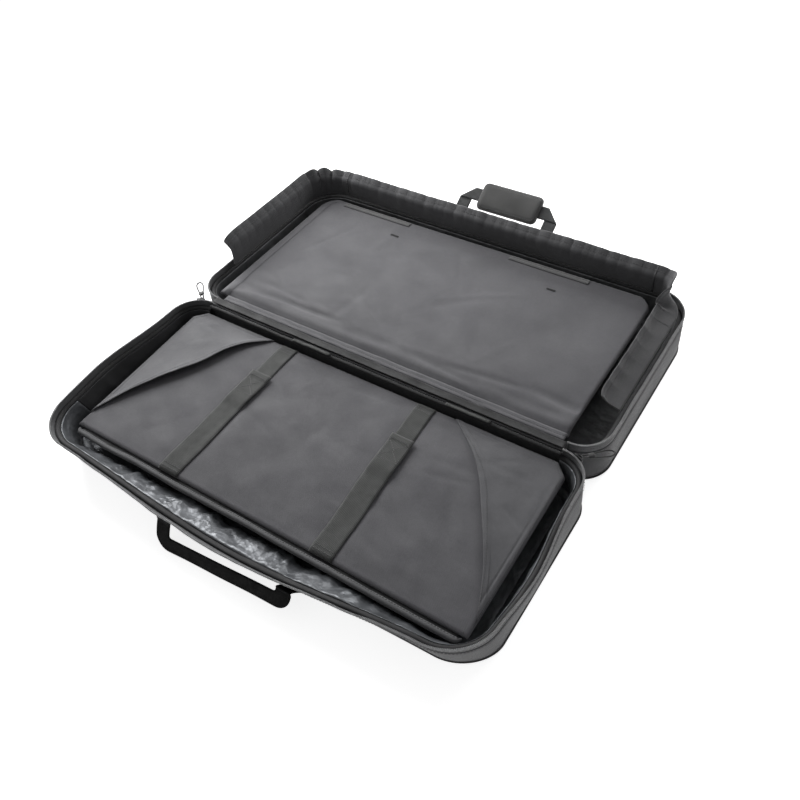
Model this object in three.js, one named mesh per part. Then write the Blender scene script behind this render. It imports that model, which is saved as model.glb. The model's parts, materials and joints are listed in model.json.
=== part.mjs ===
// Soft clamshell carry case for tabletop miniatures, lying fully open.
// Units are millimetres. +X runs along the hinge, -Y is the base half, +Y is the lid half, +Z is up.
// Everything is drawn about the hinge axis at y = 0, and both halves rest flat on z = 0. The last step
// moves the whole so that the origin is at the middle of the open case.

import * as THREE from 'three';

// ---------- Driving dimensions ----------

const WIDTH = 760;              // length of the case along the hinge
const DEPTH = 384;              // hinge axis to the far wall of each half
const RIM = 80;                 // height of both rims and of the hinge axis
const HINGE_GAP = 6;            // hinge axis to the outer face of each spine wall
const FAR_RADIUS = 66;          // plan radius of the corners away from the hinge
const NEAR_RADIUS = 50;         // plan radius of the corners beside the hinge
const GAP = 0.4;                // clearance between sewn layers

const SHELL = 3;                // outer fabric with its foam backing
const LINING = 1.2;             // inner lining
const FOAM = 5;                 // side wall foam
const BOARD = 3;                // stiffener board in each floor
const TAPE_HEIGHT = 12;         // zipper tape standing above the side wall
const TEETH = 2.6;              // zipper coil
const TAPE_DROP = 4;            // how far the tape's top lies below the rim

const SLUMP_OUT = 16;           // how far the unpadded front wall leans out at its middle
const SLUMP_DOWN = 18;          // how far its rim sinks there
const DRAW_FOOT = 46;           // how far that wall's foot is drawn in towards the hinge
const DRAW_RIM = 20;            // how far its rim is drawn in
const DRAW_SKEW = 10;           // how much further the right corner is drawn in
const SPLAY = 12;               // how far the base's side walls lean out at the rim, halfway along

const PAD = 9;                  // divider pad thickness
const WEBBING = 1.8;            // webbing thickness
const SHEET = 2;                // single hemmed fabric sheet

const HALF = WIDTH / 2;
const SPINE_HALF = HALF - NEAR_RADIUS;
const WALL_TOP = RIM - TAPE_DROP - TAPE_HEIGHT;
const WALL_FOOT = SHELL + GAP;
const DRAW_START = 120;         // distance from the hinge where the drawing-in begins
const SPLAY_START = 70;         // the splayed stretch of side wall
const SPLAY_END = 360;
const BASE = -1;
const LID = 1;

// ---------- Materials ----------

function fabric(color, roughness = 0.85, metalness = 0) {
  return new THREE.MeshStandardMaterial({ color, roughness, metalness });
}

const makeMaterial = {
  shell: () => fabric(0x2c2d2f),
  pad: () => fabric(0x45464a),
  lining: () => fabric(0x6f7276, 0.45),
  binding: () => fabric(0x1c1d1f),
  webbing: () => fabric(0x3a3b3b),
  handle: () => fabric(0x141415),
  grip: () => fabric(0x55585a, 0.75),
  hook: () => fabric(0x232425, 0.95),
  tape: () => fabric(0x202123),
  coil: () => fabric(0x77787a, 0.4),
  slider: () => fabric(0x2a2a2b, 0.4, 0.8),
  cord: () => fabric(0x151515, 0.6),
  board: () => fabric(0x303030, 0.7),
  foam: () => fabric(0x5b5b5b, 0.95),
};

// ---------- Shape helpers ----------

const model = new THREE.Group();

function addPart(name, material, geometry) {
  const mesh = new THREE.Mesh(geometry, makeMaterial[material]());
  mesh.name = name;
  model.add(mesh);
  return mesh;
}

function box(x0, x1, y0, y1, z0, z1) {
  return new THREE.BoxGeometry(x1 - x0, y1 - y0, z1 - z0)
    .translate((x0 + x1) / 2, (y0 + y1) / 2, (z0 + z1) / 2);
}

function prism(points, z0, z1) {
  const shape = new THREE.Shape(points);
  return new THREE.ExtrudeGeometry(shape, { depth: z1 - z0, bevelEnabled: false }).translate(0, 0, z0);
}

// Extrudes an outline drawn in (y, z) along X.
function prismAlongX(points, x0, x1, holes = []) {
  const shape = new THREE.Shape(points);
  shape.holes = holes.map((hole) => new THREE.Path(hole));
  return new THREE.ExtrudeGeometry(shape, { depth: x1 - x0, bevelEnabled: false })
    .rotateX(Math.PI / 2)
    .rotateZ(Math.PI / 2)
    .translate(x0, 0, 0);
}

function point(x, y) {
  return new THREE.Vector2(x, y);
}

function arc(cx, cy, radius, from, to, steps) {
  const points = [];
  for (let i = 0; i <= steps; i++) {
    const angle = from + ((to - from) * i) / steps;
    points.push(point(cx + radius * Math.cos(angle), cy + radius * Math.sin(angle)));
  }
  return points;
}

// Adds points along the straight stretches, so that they can bend.
function subdivide(points, longest) {
  const result = [points[0]];
  for (let i = 1; i < points.length; i++) {
    const count = Math.ceil(points[i].distanceTo(points[i - 1]) / longest);
    for (let k = 1; k <= count; k++) {
      result.push(points[i - 1].clone().lerp(points[i], k / count));
    }
  }
  return result;
}

// The line that the side wall follows in plan: from the right end of the spine, round the far side,
// to the left end of the spine. The inset is measured inwards from the outer face.
function wallLine(side, inset, longest = 45) {
  const near = NEAR_RADIUS - inset;
  const far = FAR_RADIUS - inset;
  const nearY = HINGE_GAP + NEAR_RADIUS;
  const farX = HALF - FAR_RADIUS;
  const farY = DEPTH - FAR_RADIUS;
  const line = [
    ...arc(SPINE_HALF, nearY, near, -Math.PI / 2, 0, 6),
    ...arc(farX, farY, far, 0, Math.PI / 2, 7),
    ...arc(-farX, farY, far, Math.PI / 2, Math.PI, 7),
    ...arc(-SPINE_HALF, nearY, near, Math.PI, 1.5 * Math.PI, 6),
  ];
  return subdivide(line, longest).map((p) => point(p.x, p.y * side));
}

// Turns the triangles over if they face inwards.
function faceOut(triangles, points) {
  let volume = 0;
  for (const [a, b, c] of triangles) {
    volume += points[a].dot(points[b].clone().cross(points[c]));
  }
  return volume < 0 ? triangles.map(([a, b, c]) => [a, c, b]) : triangles;
}

// A U-shaped strip of wall between two insets and two heights, or one stretch of it. Each station of the
// wall line gets a ring: up the outer face and down the inner face.
function wallStrip(side, outer, inner, z0, z1, steps = 1, keep = () => true) {
  const outerLine = wallLine(side, outer).filter(keep);
  const innerLine = wallLine(side, inner).filter(keep);
  const ringSize = 2 * (steps + 1);
  const points = [];
  outerLine.forEach((out, i) => {
    for (let k = 0; k <= steps; k++) {
      points.push(new THREE.Vector3(out.x, out.y, z0 + ((z1 - z0) * k) / steps));
    }
    for (let k = steps; k >= 0; k--) {
      points.push(new THREE.Vector3(innerLine[i].x, innerLine[i].y, z0 + ((z1 - z0) * k) / steps));
    }
  });
  const triangles = [];
  const addQuad = (a, b, c, d) => triangles.push([a, b, c], [a, c, d]);
  const last = outerLine.length - 1;
  for (let i = 0; i < last; i++) {
    for (let j = 0; j < ringSize; j++) {
      const next = (j + 1) % ringSize;
      addQuad(i * ringSize + j, i * ringSize + next, (i + 1) * ringSize + next, (i + 1) * ringSize + j);
    }
  }
  for (let k = 0; k < steps; k++) {
    const [a, b, c, d] = [k, k + 1, ringSize - 2 - k, ringSize - 1 - k];
    const end = last * ringSize;
    addQuad(a, d, c, b);
    addQuad(end + a, end + b, end + c, end + d);
  }
  return new THREE.BufferGeometry().setFromPoints(points).setIndex(faceOut(triangles, points).flat());
}

// A flat panel with the plan of one half.
function floorPanel(side, inset, z0, z1) {
  return prism(wallLine(side, inset), z0, z1);
}

// Where a point of the straight, upright base comes to lie in the soft case. The front wall has no board
// in it: its foot is drawn in under the rim, which leans out and sinks towards the middle. The side walls
// splay.
function settled(x, y, z) {
  const { smoothstep, lerp, clamp } = THREE.MathUtils;
  const height = clamp((z - WALL_FOOT) / (RIM - WALL_FOOT), 0, 1);
  const lean = smoothstep(-y, DEPTH - 80, DEPTH - 12) * Math.cos((Math.PI * x) / WIDTH) ** 2 * height;
  const drawn = lerp(DRAW_FOOT, DRAW_RIM, height) + DRAW_SKEW * smoothstep(x, 0, HALF);
  const along = clamp((-y - SPLAY_START) / (SPLAY_END - SPLAY_START), 0, 1);
  const splay = SPLAY * height * Math.sin(Math.PI * along) ** 2;
  return new THREE.Vector3(
    x + splay * clamp(x / (HALF - FAR_RADIUS), -1, 1),
    y + drawn * smoothstep(-y, DRAW_START, DEPTH) - SLUMP_OUT * lean,
    z - SLUMP_DOWN * lean,
  );
}

function slump(geometry) {
  const position = geometry.attributes.position;
  for (let i = 0; i < position.count; i++) {
    const p = settled(position.getX(i), position.getY(i), position.getZ(i));
    position.setXYZ(i, p.x, p.y, p.z);
  }
  return geometry;
}

// ---------- Outer shell, boards, linings and zipper of one half ----------

const BOARD_SLACK = 1.6;        // between the boards and the wall linings
const FOAM_SLACK = 1.1;         // round the foam in the base's splayed side walls

function buildShell(prefix, side, shape) {
  const liningOuter = WALL_FOOT + FOAM + GAP;
  const liningInner = liningOuter + LINING;
  const boardZ = WALL_FOOT;
  const liningZ = boardZ + BOARD + GAP;
  const tapeInset = 0.6;
  const tapeThick = 1.6;
  const coilInset = 0.2;
  const spineTop = RIM - 5;
  const tapeZ = WALL_TOP + GAP;
  const tapeTop = tapeZ + TAPE_HEIGHT;
  const coilTop = tapeTop + GAP + TEETH;
  const spineOuter = side * HINGE_GAP;
  const spineInner = side * (HINGE_GAP + SHELL);
  const [y0, y1] = [spineOuter, spineInner].sort((a, b) => a - b);

  addPart(`${prefix}_outer_panel`, 'shell', shape(floorPanel(side, 0, 0, SHELL)));
  addPart(`${prefix}_stiffener_board`, 'board',
    shape(floorPanel(side, liningInner + BOARD_SLACK, boardZ, boardZ + BOARD)));
  addPart(`${prefix}_floor_lining`, 'lining',
    shape(floorPanel(side, liningInner + BOARD_SLACK, liningZ, liningZ + LINING)));
  addPart(`${prefix}_side_wall`, 'shell', shape(wallStrip(side, 0, SHELL, boardZ, WALL_TOP, 3)));
  addPart(`${prefix}_wall_lining`, 'lining',
    shape(wallStrip(side, liningOuter, liningInner, boardZ, WALL_TOP, 3)));
  addPart(`${prefix}_zipper_tape`, 'tape',
    shape(wallStrip(side, tapeInset, tapeInset + tapeThick, tapeZ, tapeTop)));
  addPart(`${prefix}_zipper_coil`, 'coil',
    shape(wallStrip(side, coilInset, coilInset + TEETH, tapeTop + GAP, coilTop)));
  addPart(`${prefix}_spine_wall`, 'shell',
    box(-SPINE_HALF + GAP, SPINE_HALF - GAP, y0, y1, boardZ, spineTop));
}

// A foam strip inside each straight stretch of side wall.
function buildSideFoam(prefix, side, slack, shape) {
  const start = HINGE_GAP + NEAR_RADIUS - GAP;
  const end = DEPTH - FAR_RADIUS + GAP;
  const [outer, inner] = [WALL_FOOT + slack, WALL_FOOT + FOAM - slack];
  for (const [label, sign] of [['left', -1], ['right', 1]]) {
    const keep = (p) => p.x * sign > 0 && p.y * side > start && p.y * side < end;
    addPart(`${prefix}_${label}_foam`, 'foam',
      shape(wallStrip(side, outer, inner, WALL_FOOT, WALL_TOP, 3, keep)));
  }
}

function buildLidBackFoam() {
  const y1 = DEPTH - WALL_FOOT;
  const reach = HALF - FAR_RADIUS;
  addPart('lid_back_foam', 'foam', box(-reach, reach, y1 - FOAM, y1, WALL_FOOT, WALL_TOP));
}

// ---------- Hinge ----------

const HINGE = {
  webThick: 1.5,
  webTop: RIM - 1,
  rollRadius: 3,
  rollHeight: RIM - 8,
  tabHalf: 37,
  tabDepth: 5.5,
};

// The fabric web that joins the two spine walls, its rolled binding and two short webbing tabs.
function buildHinge() {
  const { webThick, webTop, rollRadius, rollHeight, tabHalf, tabDepth } = HINGE;
  const webReach = HINGE_GAP - GAP;
  addPart('hinge_web', 'binding',
    box(-SPINE_HALF, SPINE_HALF, -webReach, webReach, webTop - webThick, webTop));
  const rollY = -(HINGE_GAP + SHELL + GAP + rollRadius);
  addPart('hinge_binding', 'binding',
    new THREE.CylinderGeometry(rollRadius, rollRadius, 2 * SPINE_HALF, 12)
      .rotateZ(Math.PI / 2)
      .translate(0, rollY, rollHeight));
  const tabY = rollY + rollRadius;
  const tabZ = rollHeight + rollRadius + GAP;
  for (const [label, x] of [['left', -110], ['right', 180]]) {
    addPart(`${label}_spine_tab`, 'webbing',
      box(x - tabHalf, x + tabHalf, tabY - tabDepth, tabY, tabZ, tabZ + WEBBING));
  }
}

// ---------- Base divider: padded flap over the base pocket ----------

const BASE_DIVIDER = {
  lip: 14,            // width of the soft strip along its front edge
  half: 350,          // half length along the hinge
  near: 20,           // distance of its sewn edge from the hinge axis
  far: 322,           // distance of its front lip
  top: RIM - 16,      // height of its top beside the hinge
  drop: 14,           // how much lower the front lip lies
  radius: 13,         // front corners of the lip
  cut: 20,            // corners cut off beside the spine
};

// Height of the divider's top at a distance from the hinge axis.
function baseTop(distance) {
  const { near, far, top, drop } = BASE_DIVIDER;
  return top - (drop * (distance - near)) / (far - near);
}

// Shears a flat piece made at z = 0 so that it lies on the sloping divider.
function layOnBaseDivider(geometry, lift) {
  const position = geometry.attributes.position;
  for (let i = 0; i < position.count; i++) {
    position.setZ(i, position.getZ(i) + baseTop(-position.getY(i)) + lift);
  }
  return geometry;
}

function buildBaseDivider() {
  const { lip: lipWidth, half, near, far, radius, cut } = BASE_DIVIDER;
  const lipFar = far - GAP;
  const padFar = far - lipWidth - GAP;
  const pad = [
    point(-half + cut, -near),
    point(half - cut, -near),
    point(half, -near - cut),
    point(half, -padFar),
    point(-half, -padFar),
    point(-half, -near - cut),
  ];
  addPart('base_divider_pad', 'pad', layOnBaseDivider(prism(pad, 0, PAD), -PAD));
  const lip = [
    point(half, -(far - lipWidth)),
    ...arc(half - radius, -lipFar + radius, radius, 0, -Math.PI / 2, 5),
    ...arc(-half + radius, -lipFar + radius, radius, -Math.PI / 2, -Math.PI, 5),
    point(-half, -(far - lipWidth)),
  ];
  addPart('base_divider_lip', 'binding', layOnBaseDivider(prism(lip, 0, PAD - 1), -PAD));
}

// How far a corner pocket runs along the outer edge, its width there, and the bend of its free edge.
const POCKET = { reach: 284, tipWidth: 6, bendAcross: 110, bendAlong: 135 };

// A triangular sheet sewn along the hinge side and the outer side, open along its long edge.
function buildCornerPockets() {
  const { half, near, cut } = BASE_DIVIDER;
  const edge = half - 1;
  for (const [label, sign, start] of [['left', -1, 182], ['right', 1, 165]]) {
    const outline = [
      point(sign * start, -near),
      point(sign * (edge - cut), -near),
      point(sign * edge, -near - cut),
      point(sign * edge, -POCKET.reach),
      point(sign * (edge - POCKET.tipWidth), -POCKET.reach),
      point(sign * (start + POCKET.bendAcross), -near - POCKET.bendAlong),
    ];
    addPart(`${label}_corner_pocket`, 'pad', layOnBaseDivider(prism(outline, 0, SHEET), GAP));
  }
}

// Each strap is a short webbing sewn at the hinge side and a longer one sewn at the lip. The longer one
// overlaps the short one and holds to it by a hook patch.
const STRAPS = [['left', -152], ['right', 121]];
const STRAP = {
  shortWidth: 32,
  longWidth: 38,
  shortEnd: 150,
  longStart: 92,
  patchStart: 96,
  patchEnd: 142,
  patchThick: 1,
  longEnd: 308,
};

function buildStraps() {
  for (const [label, x] of STRAPS) {
    const short = STRAP.shortWidth / 2;
    const long = STRAP.longWidth / 2;
    const strip = (reach, from, to, thick) => prism(
      [point(x - reach, -from), point(x + reach, -from), point(x + reach, -to), point(x - reach, -to)],
      0, thick);
    addPart(`${label}_strap_short_webbing`, 'webbing',
      layOnBaseDivider(strip(short, BASE_DIVIDER.near, STRAP.shortEnd, WEBBING), GAP));
    addPart(`${label}_strap_hook_patch`, 'hook',
      layOnBaseDivider(strip(short, STRAP.patchStart, STRAP.patchEnd, STRAP.patchThick), WEBBING + 2 * GAP));
    addPart(`${label}_strap_long_webbing`, 'webbing',
      layOnBaseDivider(strip(long, STRAP.longStart, STRAP.longEnd, WEBBING),
        WEBBING + STRAP.patchThick + 3 * GAP));
  }
}

// ---------- Lid divider: padded flap over the lid pocket ----------

const LID_DIVIDER = { left: -344, right: 322, near: 26, far: 356, top: RIM - 7, radius: 34, flange: 3 };
const LOOP_STRIP = { width: 12, inset: 5, thick: 1 };

function buildLidDivider() {
  const { left, right, near, far, top, radius, flange } = LID_DIVIDER;
  const pad = [
    point(left, near),
    point(right, near),
    ...arc(right - radius, far - radius, radius, 0, Math.PI / 2, 6),
    ...arc(left + radius, far - radius, radius, Math.PI / 2, Math.PI, 6),
  ];
  addPart('lid_divider_pad', 'pad', prism(pad, top - PAD, top));
  const flangeStart = HINGE_GAP + SHELL + GAP + 1;
  addPart('lid_divider_flange', 'pad', box(-right, right, flangeStart, near - GAP, top - flange, top));
  const loopFar = far - LOOP_STRIP.inset;
  const loopZ = top + GAP;
  for (const [label, x0, x1] of [['left', -300, -150], ['right', 60, 210]]) {
    addPart(`lid_${label}_loop_strip`, 'hook',
      box(x0, x1, loopFar - LOOP_STRIP.width, loopFar, loopZ, loopZ + LOOP_STRIP.thick));
  }
}

// ---------- Lid skirt: three fabric flaps sewn inside the zipper ----------

const FLAP = {
  seamInset: SHELL + FOAM + 2 * GAP + LINING + GAP,   // outer face of a flap, inwards of the wall's face
  root: 6,                                             // how far the seam lies below the rim
  start: 96,                                           // free front end of the side flaps
  endGap: 24,                                          // from their far end to the start of the far corner
};

// A flap's section: up from its seam, leaning inwards by an angle from vertical, with the given width.
function flapSection(width, lean) {
  const slope = point(Math.sin(lean), Math.cos(lean));
  const across = point(Math.cos(lean), -Math.sin(lean));
  const foot = point(0, -FLAP.root);
  const rise = point(0, 0);
  const tip = rise.clone().addScaledVector(slope, width);
  return [
    foot,
    point(SHEET, -FLAP.root),
    point(SHEET, 0).addScaledVector(point(0, 1), -SHEET * Math.tan(lean / 2)),
    tip.clone().addScaledVector(across, SHEET),
    tip,
    rise,
  ];
}

const FLAPS = {
  left: { width: 52, lean: 0 },
  right: { width: 38, lean: THREE.MathUtils.degToRad(75) },
  back: { width: 46, lean: 0 },
};

function buildSkirt() {
  const sideFar = DEPTH - FAR_RADIUS - FLAP.endGap;
  const wall = HALF - FLAP.seamInset;
  for (const [label, sign] of [['left', -1], ['right', 1]]) {
    const section = flapSection(FLAPS[label].width, FLAPS[label].lean)
      .map((p) => point(sign * (wall - p.x), RIM + p.y));
    const flap = new THREE.ExtrudeGeometry(new THREE.Shape(section), {
      depth: sideFar - FLAP.start,
      bevelEnabled: false,
    });
    flap.rotateX(Math.PI / 2).translate(0, sideFar, 0);
    addPart(`lid_${label}_flap`, 'shell', flap);
  }
  const back = flapSection(FLAPS.back.width, FLAPS.back.lean)
    .map((p) => point(DEPTH - FLAP.seamInset - p.x, RIM + p.y));
  const reach = HALF - FAR_RADIUS - 4;
  addPart('lid_back_flap', 'shell', prismAlongX(back, -reach, reach));
}

// ---------- Handles ----------

// A flat webbing loop drawn in its own plane: it leaves the wall at v = 0. Its corners are bent in the
// given number of steps, and its bar slants where the loop hangs askew.
function handleLoop({ half, reach, width, corner, cut, steps, slant }) {
  const inner = half - width;
  const top = reach - width - cut;
  const outside = [
    ...arc(half - corner, reach - corner, corner, 0, Math.PI / 2, steps),
    ...arc(-half + corner, reach - corner, corner, Math.PI / 2, Math.PI, steps),
  ];
  const inside = [
    ...arc(-inner + cut, top, cut, Math.PI, Math.PI / 2, steps),
    ...arc(inner - cut, top, cut, Math.PI / 2, 0, steps),
  ];
  const askew = (line) => line.map((p) => point(p.x, p.y - slant * p.x));
  return [
    point(half, 0),
    ...askew(outside),
    point(-half, 0),
    point(-inner, 0),
    ...askew(inside),
    point(inner, 0),
  ];
}

const FRONT_HANDLE = {
  half: 120,
  reach: 40,
  width: 25,
  corner: 24,
  cut: 4,
  steps: 4,
  slant: 0.09,
  shift: 10,
  height: 64,
  tilt: -68,
  thick: 3,
};
const BACK_HANDLE = {
  half: 100,
  reach: 96,
  width: 25,
  corner: 30,
  cut: 12,
  steps: 1,
  slant: 0,
  shift: 0,
  height: 52,
  tilt: 34,
  thick: 3,
};
const HANDLE_CLEARANCE = 4;
const HANDLE_PATCH = { half: 17, drop: 4, height: 30, frontFoot: 22, frontTop: 54 };

// Stands a loop out from a wall, turned about X by its tilt.
function buildHandle(name, handle, side, shape) {
  const root = shape(handle.shift - handle.half + handle.width, side * DEPTH, handle.height);
  const pivot = new THREE.Group();
  pivot.position.set(handle.shift, root.y + side * HANDLE_CLEARANCE, root.z);
  pivot.rotation.x = THREE.MathUtils.degToRad(side * handle.tilt);
  model.add(pivot);
  const outline = handleLoop(handle).map((p) => point(p.x, side * p.y));
  const loop = addPart(`${name}_webbing`, 'handle', prism(outline, -handle.thick / 2, handle.thick / 2));
  pivot.add(loop);
  return pivot;
}

const GRIP = { length: 122, depth: 54, thick: 15, round: 6, slotRound: 0.6 };

// A padded wrap closed round the middle of the back handle.
function buildGrip(pivot) {
  const { length, depth, thick, round } = GRIP;
  const centre = BACK_HANDLE.reach - BACK_HANDLE.width / 2;
  const rounded = (w, h, r, steps) => [
    ...arc(w / 2 - r, h / 2 - r, r, 0, Math.PI / 2, steps),
    ...arc(-w / 2 + r, h / 2 - r, r, Math.PI / 2, Math.PI, steps),
    ...arc(-w / 2 + r, -h / 2 + r, r, Math.PI, 1.5 * Math.PI, steps),
    ...arc(w / 2 - r, -h / 2 + r, r, 1.5 * Math.PI, 2 * Math.PI, steps),
  ].map((p) => point(p.x + centre, p.y));
  const slotDepth = BACK_HANDLE.width + 2 * GAP;
  const slotThick = BACK_HANDLE.thick + 2 * GAP;
  const slot = rounded(slotDepth, slotThick, GRIP.slotRound, 1);
  const wrap = addPart('back_handle_grip', 'grip',
    prismAlongX(rounded(depth, thick, round, 5), -length / 2, length / 2, [slot]));
  pivot.add(wrap);
}

function buildHandlePatches() {
  const { half, drop, height, frontFoot, frontTop } = HANDLE_PATCH;
  for (const [sign, label] of [[-1, 'left'], [1, 'right']]) {
    const x = sign * (BACK_HANDLE.half - BACK_HANDLE.width / 2);
    const z = BACK_HANDLE.height - drop;
    const back = box(x - half, x + half, DEPTH + GAP, DEPTH + GAP + WEBBING, z - height, z);
    addPart(`back_handle_${label}_patch`, 'handle', back);
    const frontX = FRONT_HANDLE.shift + sign * (FRONT_HANDLE.half - FRONT_HANDLE.width / 2);
    const front = box(
      frontX - half, frontX + half, -DEPTH - GAP - WEBBING, -DEPTH - GAP, frontFoot, frontTop);
    addPart(`front_handle_${label}_patch`, 'handle', slump(front));
  }
}

// ---------- Zipper sliders ----------

// Each slider sits at the hinge end of the base zipper and follows the rim round its near corner.
const SLIDER = {
  angle: THREE.MathUtils.degToRad(62),
  length: 15,
  noseLength: 8.25,
  depth: 7,
  height: 10,
  top: RIM - 0.8,
  standOff: 0.8,
};
const PULL = { length: 46, width: 11, cord: 2.6, turn: THREE.MathUtils.degToRad(-22) };

function buildSlider(label, sign) {
  const centreY = -(HINGE_GAP + NEAR_RADIUS);
  const turn = new THREE.Group();
  turn.position.set(sign * SPINE_HALF, centreY, 0);
  turn.rotation.z = sign > 0 ? SLIDER.angle : Math.PI - SLIDER.angle;
  model.add(turn);
  const inner = NEAR_RADIUS + SLIDER.standOff;
  const half = SLIDER.length / 2;
  const nose = SLIDER.noseLength / 2;
  const body = [
    point(inner, -half),
    point(inner + SLIDER.depth, -nose),
    point(inner + SLIDER.depth, nose),
    point(inner, half),
  ];
  const slider = addPart(`${label}_slider`, 'slider', prism(body, SLIDER.top - SLIDER.height, SLIDER.top));
  turn.add(slider);

  const pivot = new THREE.Group();
  pivot.position.set(inner + SLIDER.depth + PULL.cord / 2 + GAP, 0, SLIDER.top - SLIDER.height / 2);
  pivot.rotation.z = sign * PULL.turn;
  turn.add(pivot);
  const r = PULL.width / 2;
  const root = PULL.cord / 2 + GAP;
  const throat = point(PULL.length * 0.25, root * 1.4);
  const ring = [
    point(0, -root),
    point(throat.x, -throat.y),
    ...arc(PULL.length - r, 0, r, -Math.PI / 2, Math.PI / 2, 6),
    throat,
    point(0, root),
  ].map((p) => new THREE.Vector3(p.x, p.y, 0));
  const loopLine = new THREE.CatmullRomCurve3(ring);
  const section = new THREE.Shape(arc(0, 0, PULL.cord / 2, 0, 1.75 * Math.PI, 7));
  const loop = new THREE.ExtrudeGeometry(section, { extrudePath: loopLine, steps: 32 });
  pivot.add(addPart(`${label}_pull_loop`, 'cord', loop));
}

// ---------- Assembly ----------

buildShell('base', BASE, slump);
buildShell('lid', LID, (geometry) => geometry);
buildSideFoam('base', BASE, FOAM_SLACK, slump);
buildSideFoam('lid', LID, 0, (geometry) => geometry);
buildLidBackFoam();
buildHinge();
buildBaseDivider();
buildCornerPockets();
buildStraps();
buildLidDivider();
buildSkirt();
buildHandle('front_handle', FRONT_HANDLE, BASE, settled);
buildGrip(buildHandle('back_handle', BACK_HANDLE, LID, (x, y, z) => new THREE.Vector3(x, y, z)));
buildHandlePatches();
buildSlider('left', -1);
buildSlider('right', 1);

// The origin goes on the floor, at the middle of the open case with its handles.
const bounds = new THREE.Box3().setFromObject(model, true);
model.position.y = -(bounds.min.y + bounds.max.y) / 2;

export default model;
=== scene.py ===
"""Looks of a soft clamshell carry case for tabletop miniatures, lying fully open.

Pieces are drawn in millimetres about the hinge: x runs along it, y away from it (negative over the base
half, positive over the lid half) and z up from the floor. make() turns them into metres in the frame.
"""

import itertools
import json
import math

import bmesh
import bpy
import numpy as np
from mathutils import Matrix, Vector


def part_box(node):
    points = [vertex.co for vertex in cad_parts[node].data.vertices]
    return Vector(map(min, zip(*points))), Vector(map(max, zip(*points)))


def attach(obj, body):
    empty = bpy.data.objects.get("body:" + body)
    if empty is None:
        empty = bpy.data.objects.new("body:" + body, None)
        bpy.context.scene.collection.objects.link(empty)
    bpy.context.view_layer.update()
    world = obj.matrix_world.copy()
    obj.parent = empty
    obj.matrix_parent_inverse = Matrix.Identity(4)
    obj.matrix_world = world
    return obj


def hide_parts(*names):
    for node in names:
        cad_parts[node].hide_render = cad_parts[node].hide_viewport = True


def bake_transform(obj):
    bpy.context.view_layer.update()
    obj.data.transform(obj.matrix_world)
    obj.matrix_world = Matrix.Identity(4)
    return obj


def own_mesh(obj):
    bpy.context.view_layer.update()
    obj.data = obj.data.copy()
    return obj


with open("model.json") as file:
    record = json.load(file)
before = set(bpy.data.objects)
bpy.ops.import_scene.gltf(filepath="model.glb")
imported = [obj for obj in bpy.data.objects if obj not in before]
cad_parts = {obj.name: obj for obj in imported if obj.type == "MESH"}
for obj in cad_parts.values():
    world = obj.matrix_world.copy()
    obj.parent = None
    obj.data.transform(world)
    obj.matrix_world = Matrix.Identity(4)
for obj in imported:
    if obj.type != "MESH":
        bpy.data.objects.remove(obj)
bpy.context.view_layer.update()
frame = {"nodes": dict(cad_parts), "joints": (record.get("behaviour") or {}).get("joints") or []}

# ---------- Sizes read from the frame ----------

MM = 0.001
JOINTS = {j["name"]: j for j in frame["joints"]}
HINGE_Y = JOINTS["lid_fold"]["pos_m"][1]


def in_mm(point):
    """A frame point in millimetres about the hinge."""
    x, y, z = point
    return np.array([x, y - HINGE_Y, z]) / MM


def box_mm(node):
    """The lowest and highest corners of a CAD node, in millimetres about the hinge."""
    low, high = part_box(node)
    return in_mm(low), in_mm(high)


def in_frame(x, y, z):
    """A point given in millimetres about the hinge, in frame metres."""
    return x * MM, y * MM + HINGE_Y, z * MM


BASE, LID = -1, 1
RIM = in_mm(JOINTS["lid_fold"]["pos_m"])[2]
HALF, DEPTH = box_mm("lid_outer_panel")[1][:2]
SPINE_HALF = box_mm("hinge_web")[1][0]
SPINE_OUT = box_mm("lid_spine_wall")[0][1]
SPINE_IN = box_mm("lid_spine_wall")[1][1]
NEAR_RADIUS = HALF - SPINE_HALF
FAR_RADIUS = DEPTH - box_mm("lid_left_foam")[1][1]
WALL_TOP = box_mm("lid_side_wall")[1][2]
TAPE_FOOT, TAPE_TOP = (box_mm("lid_zipper_tape")[i][2] for i in (0, 1))
FLOOR_TOP = box_mm("lid_floor_lining")[1][2]
LINING_INSET = HALF - box_mm("lid_floor_lining")[1][0] - 0.6
# The soft base: its front wall is drawn in at the foot, leans out and sinks; its side walls splay.
SLUMP_OUT, SLUMP_DOWN = 16, 18
DRAW_FOOT, DRAW_RIM, DRAW_SKEW, DRAW_START = 46, 20, 10, 120
SPLAY, SPLAY_START, SPLAY_END = 12, 70, 360
SETTLE_FOOT = box_mm("base_side_wall")[0][2]

# ---------- Smooth noise and creases ----------


def lattice(cells, seed):
    """A fixed value from 0 to 1 for each whole-number cell."""
    mixed = np.full(cells.shape[:-1], seed * 2654435761 & 0xFFFFFFFF, np.uint64)
    for axis, prime in enumerate((73856093, 19349663, 83492791)[: cells.shape[-1]]):
        mixed ^= (cells[..., axis] * prime & 0xFFFFFFFF).astype(np.uint64)
        mixed = (mixed ^ (mixed >> np.uint64(15))) * np.uint64(2246822519) & np.uint64(0xFFFFFFFF)
    mixed ^= mixed >> np.uint64(13)
    return mixed.astype(float) / 0xFFFFFFFF


def noise(points, size, seed):
    """Smooth noise from -1 to 1, with bumps about size millimetres across."""
    scaled = np.asarray(points, float) / size
    cell = np.floor(scaled).astype(np.int64)
    part = scaled - cell
    part = part * part * (3 - 2 * part)
    total = np.zeros(cell.shape[:-1])
    for corner in itertools.product((0, 1), repeat=cell.shape[-1]):
        weight = np.prod(np.where(np.array(corner, bool), part, 1 - part), axis=-1)
        total += weight * lattice(cell + np.array(corner), seed)
    return 2 * total - 1


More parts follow.
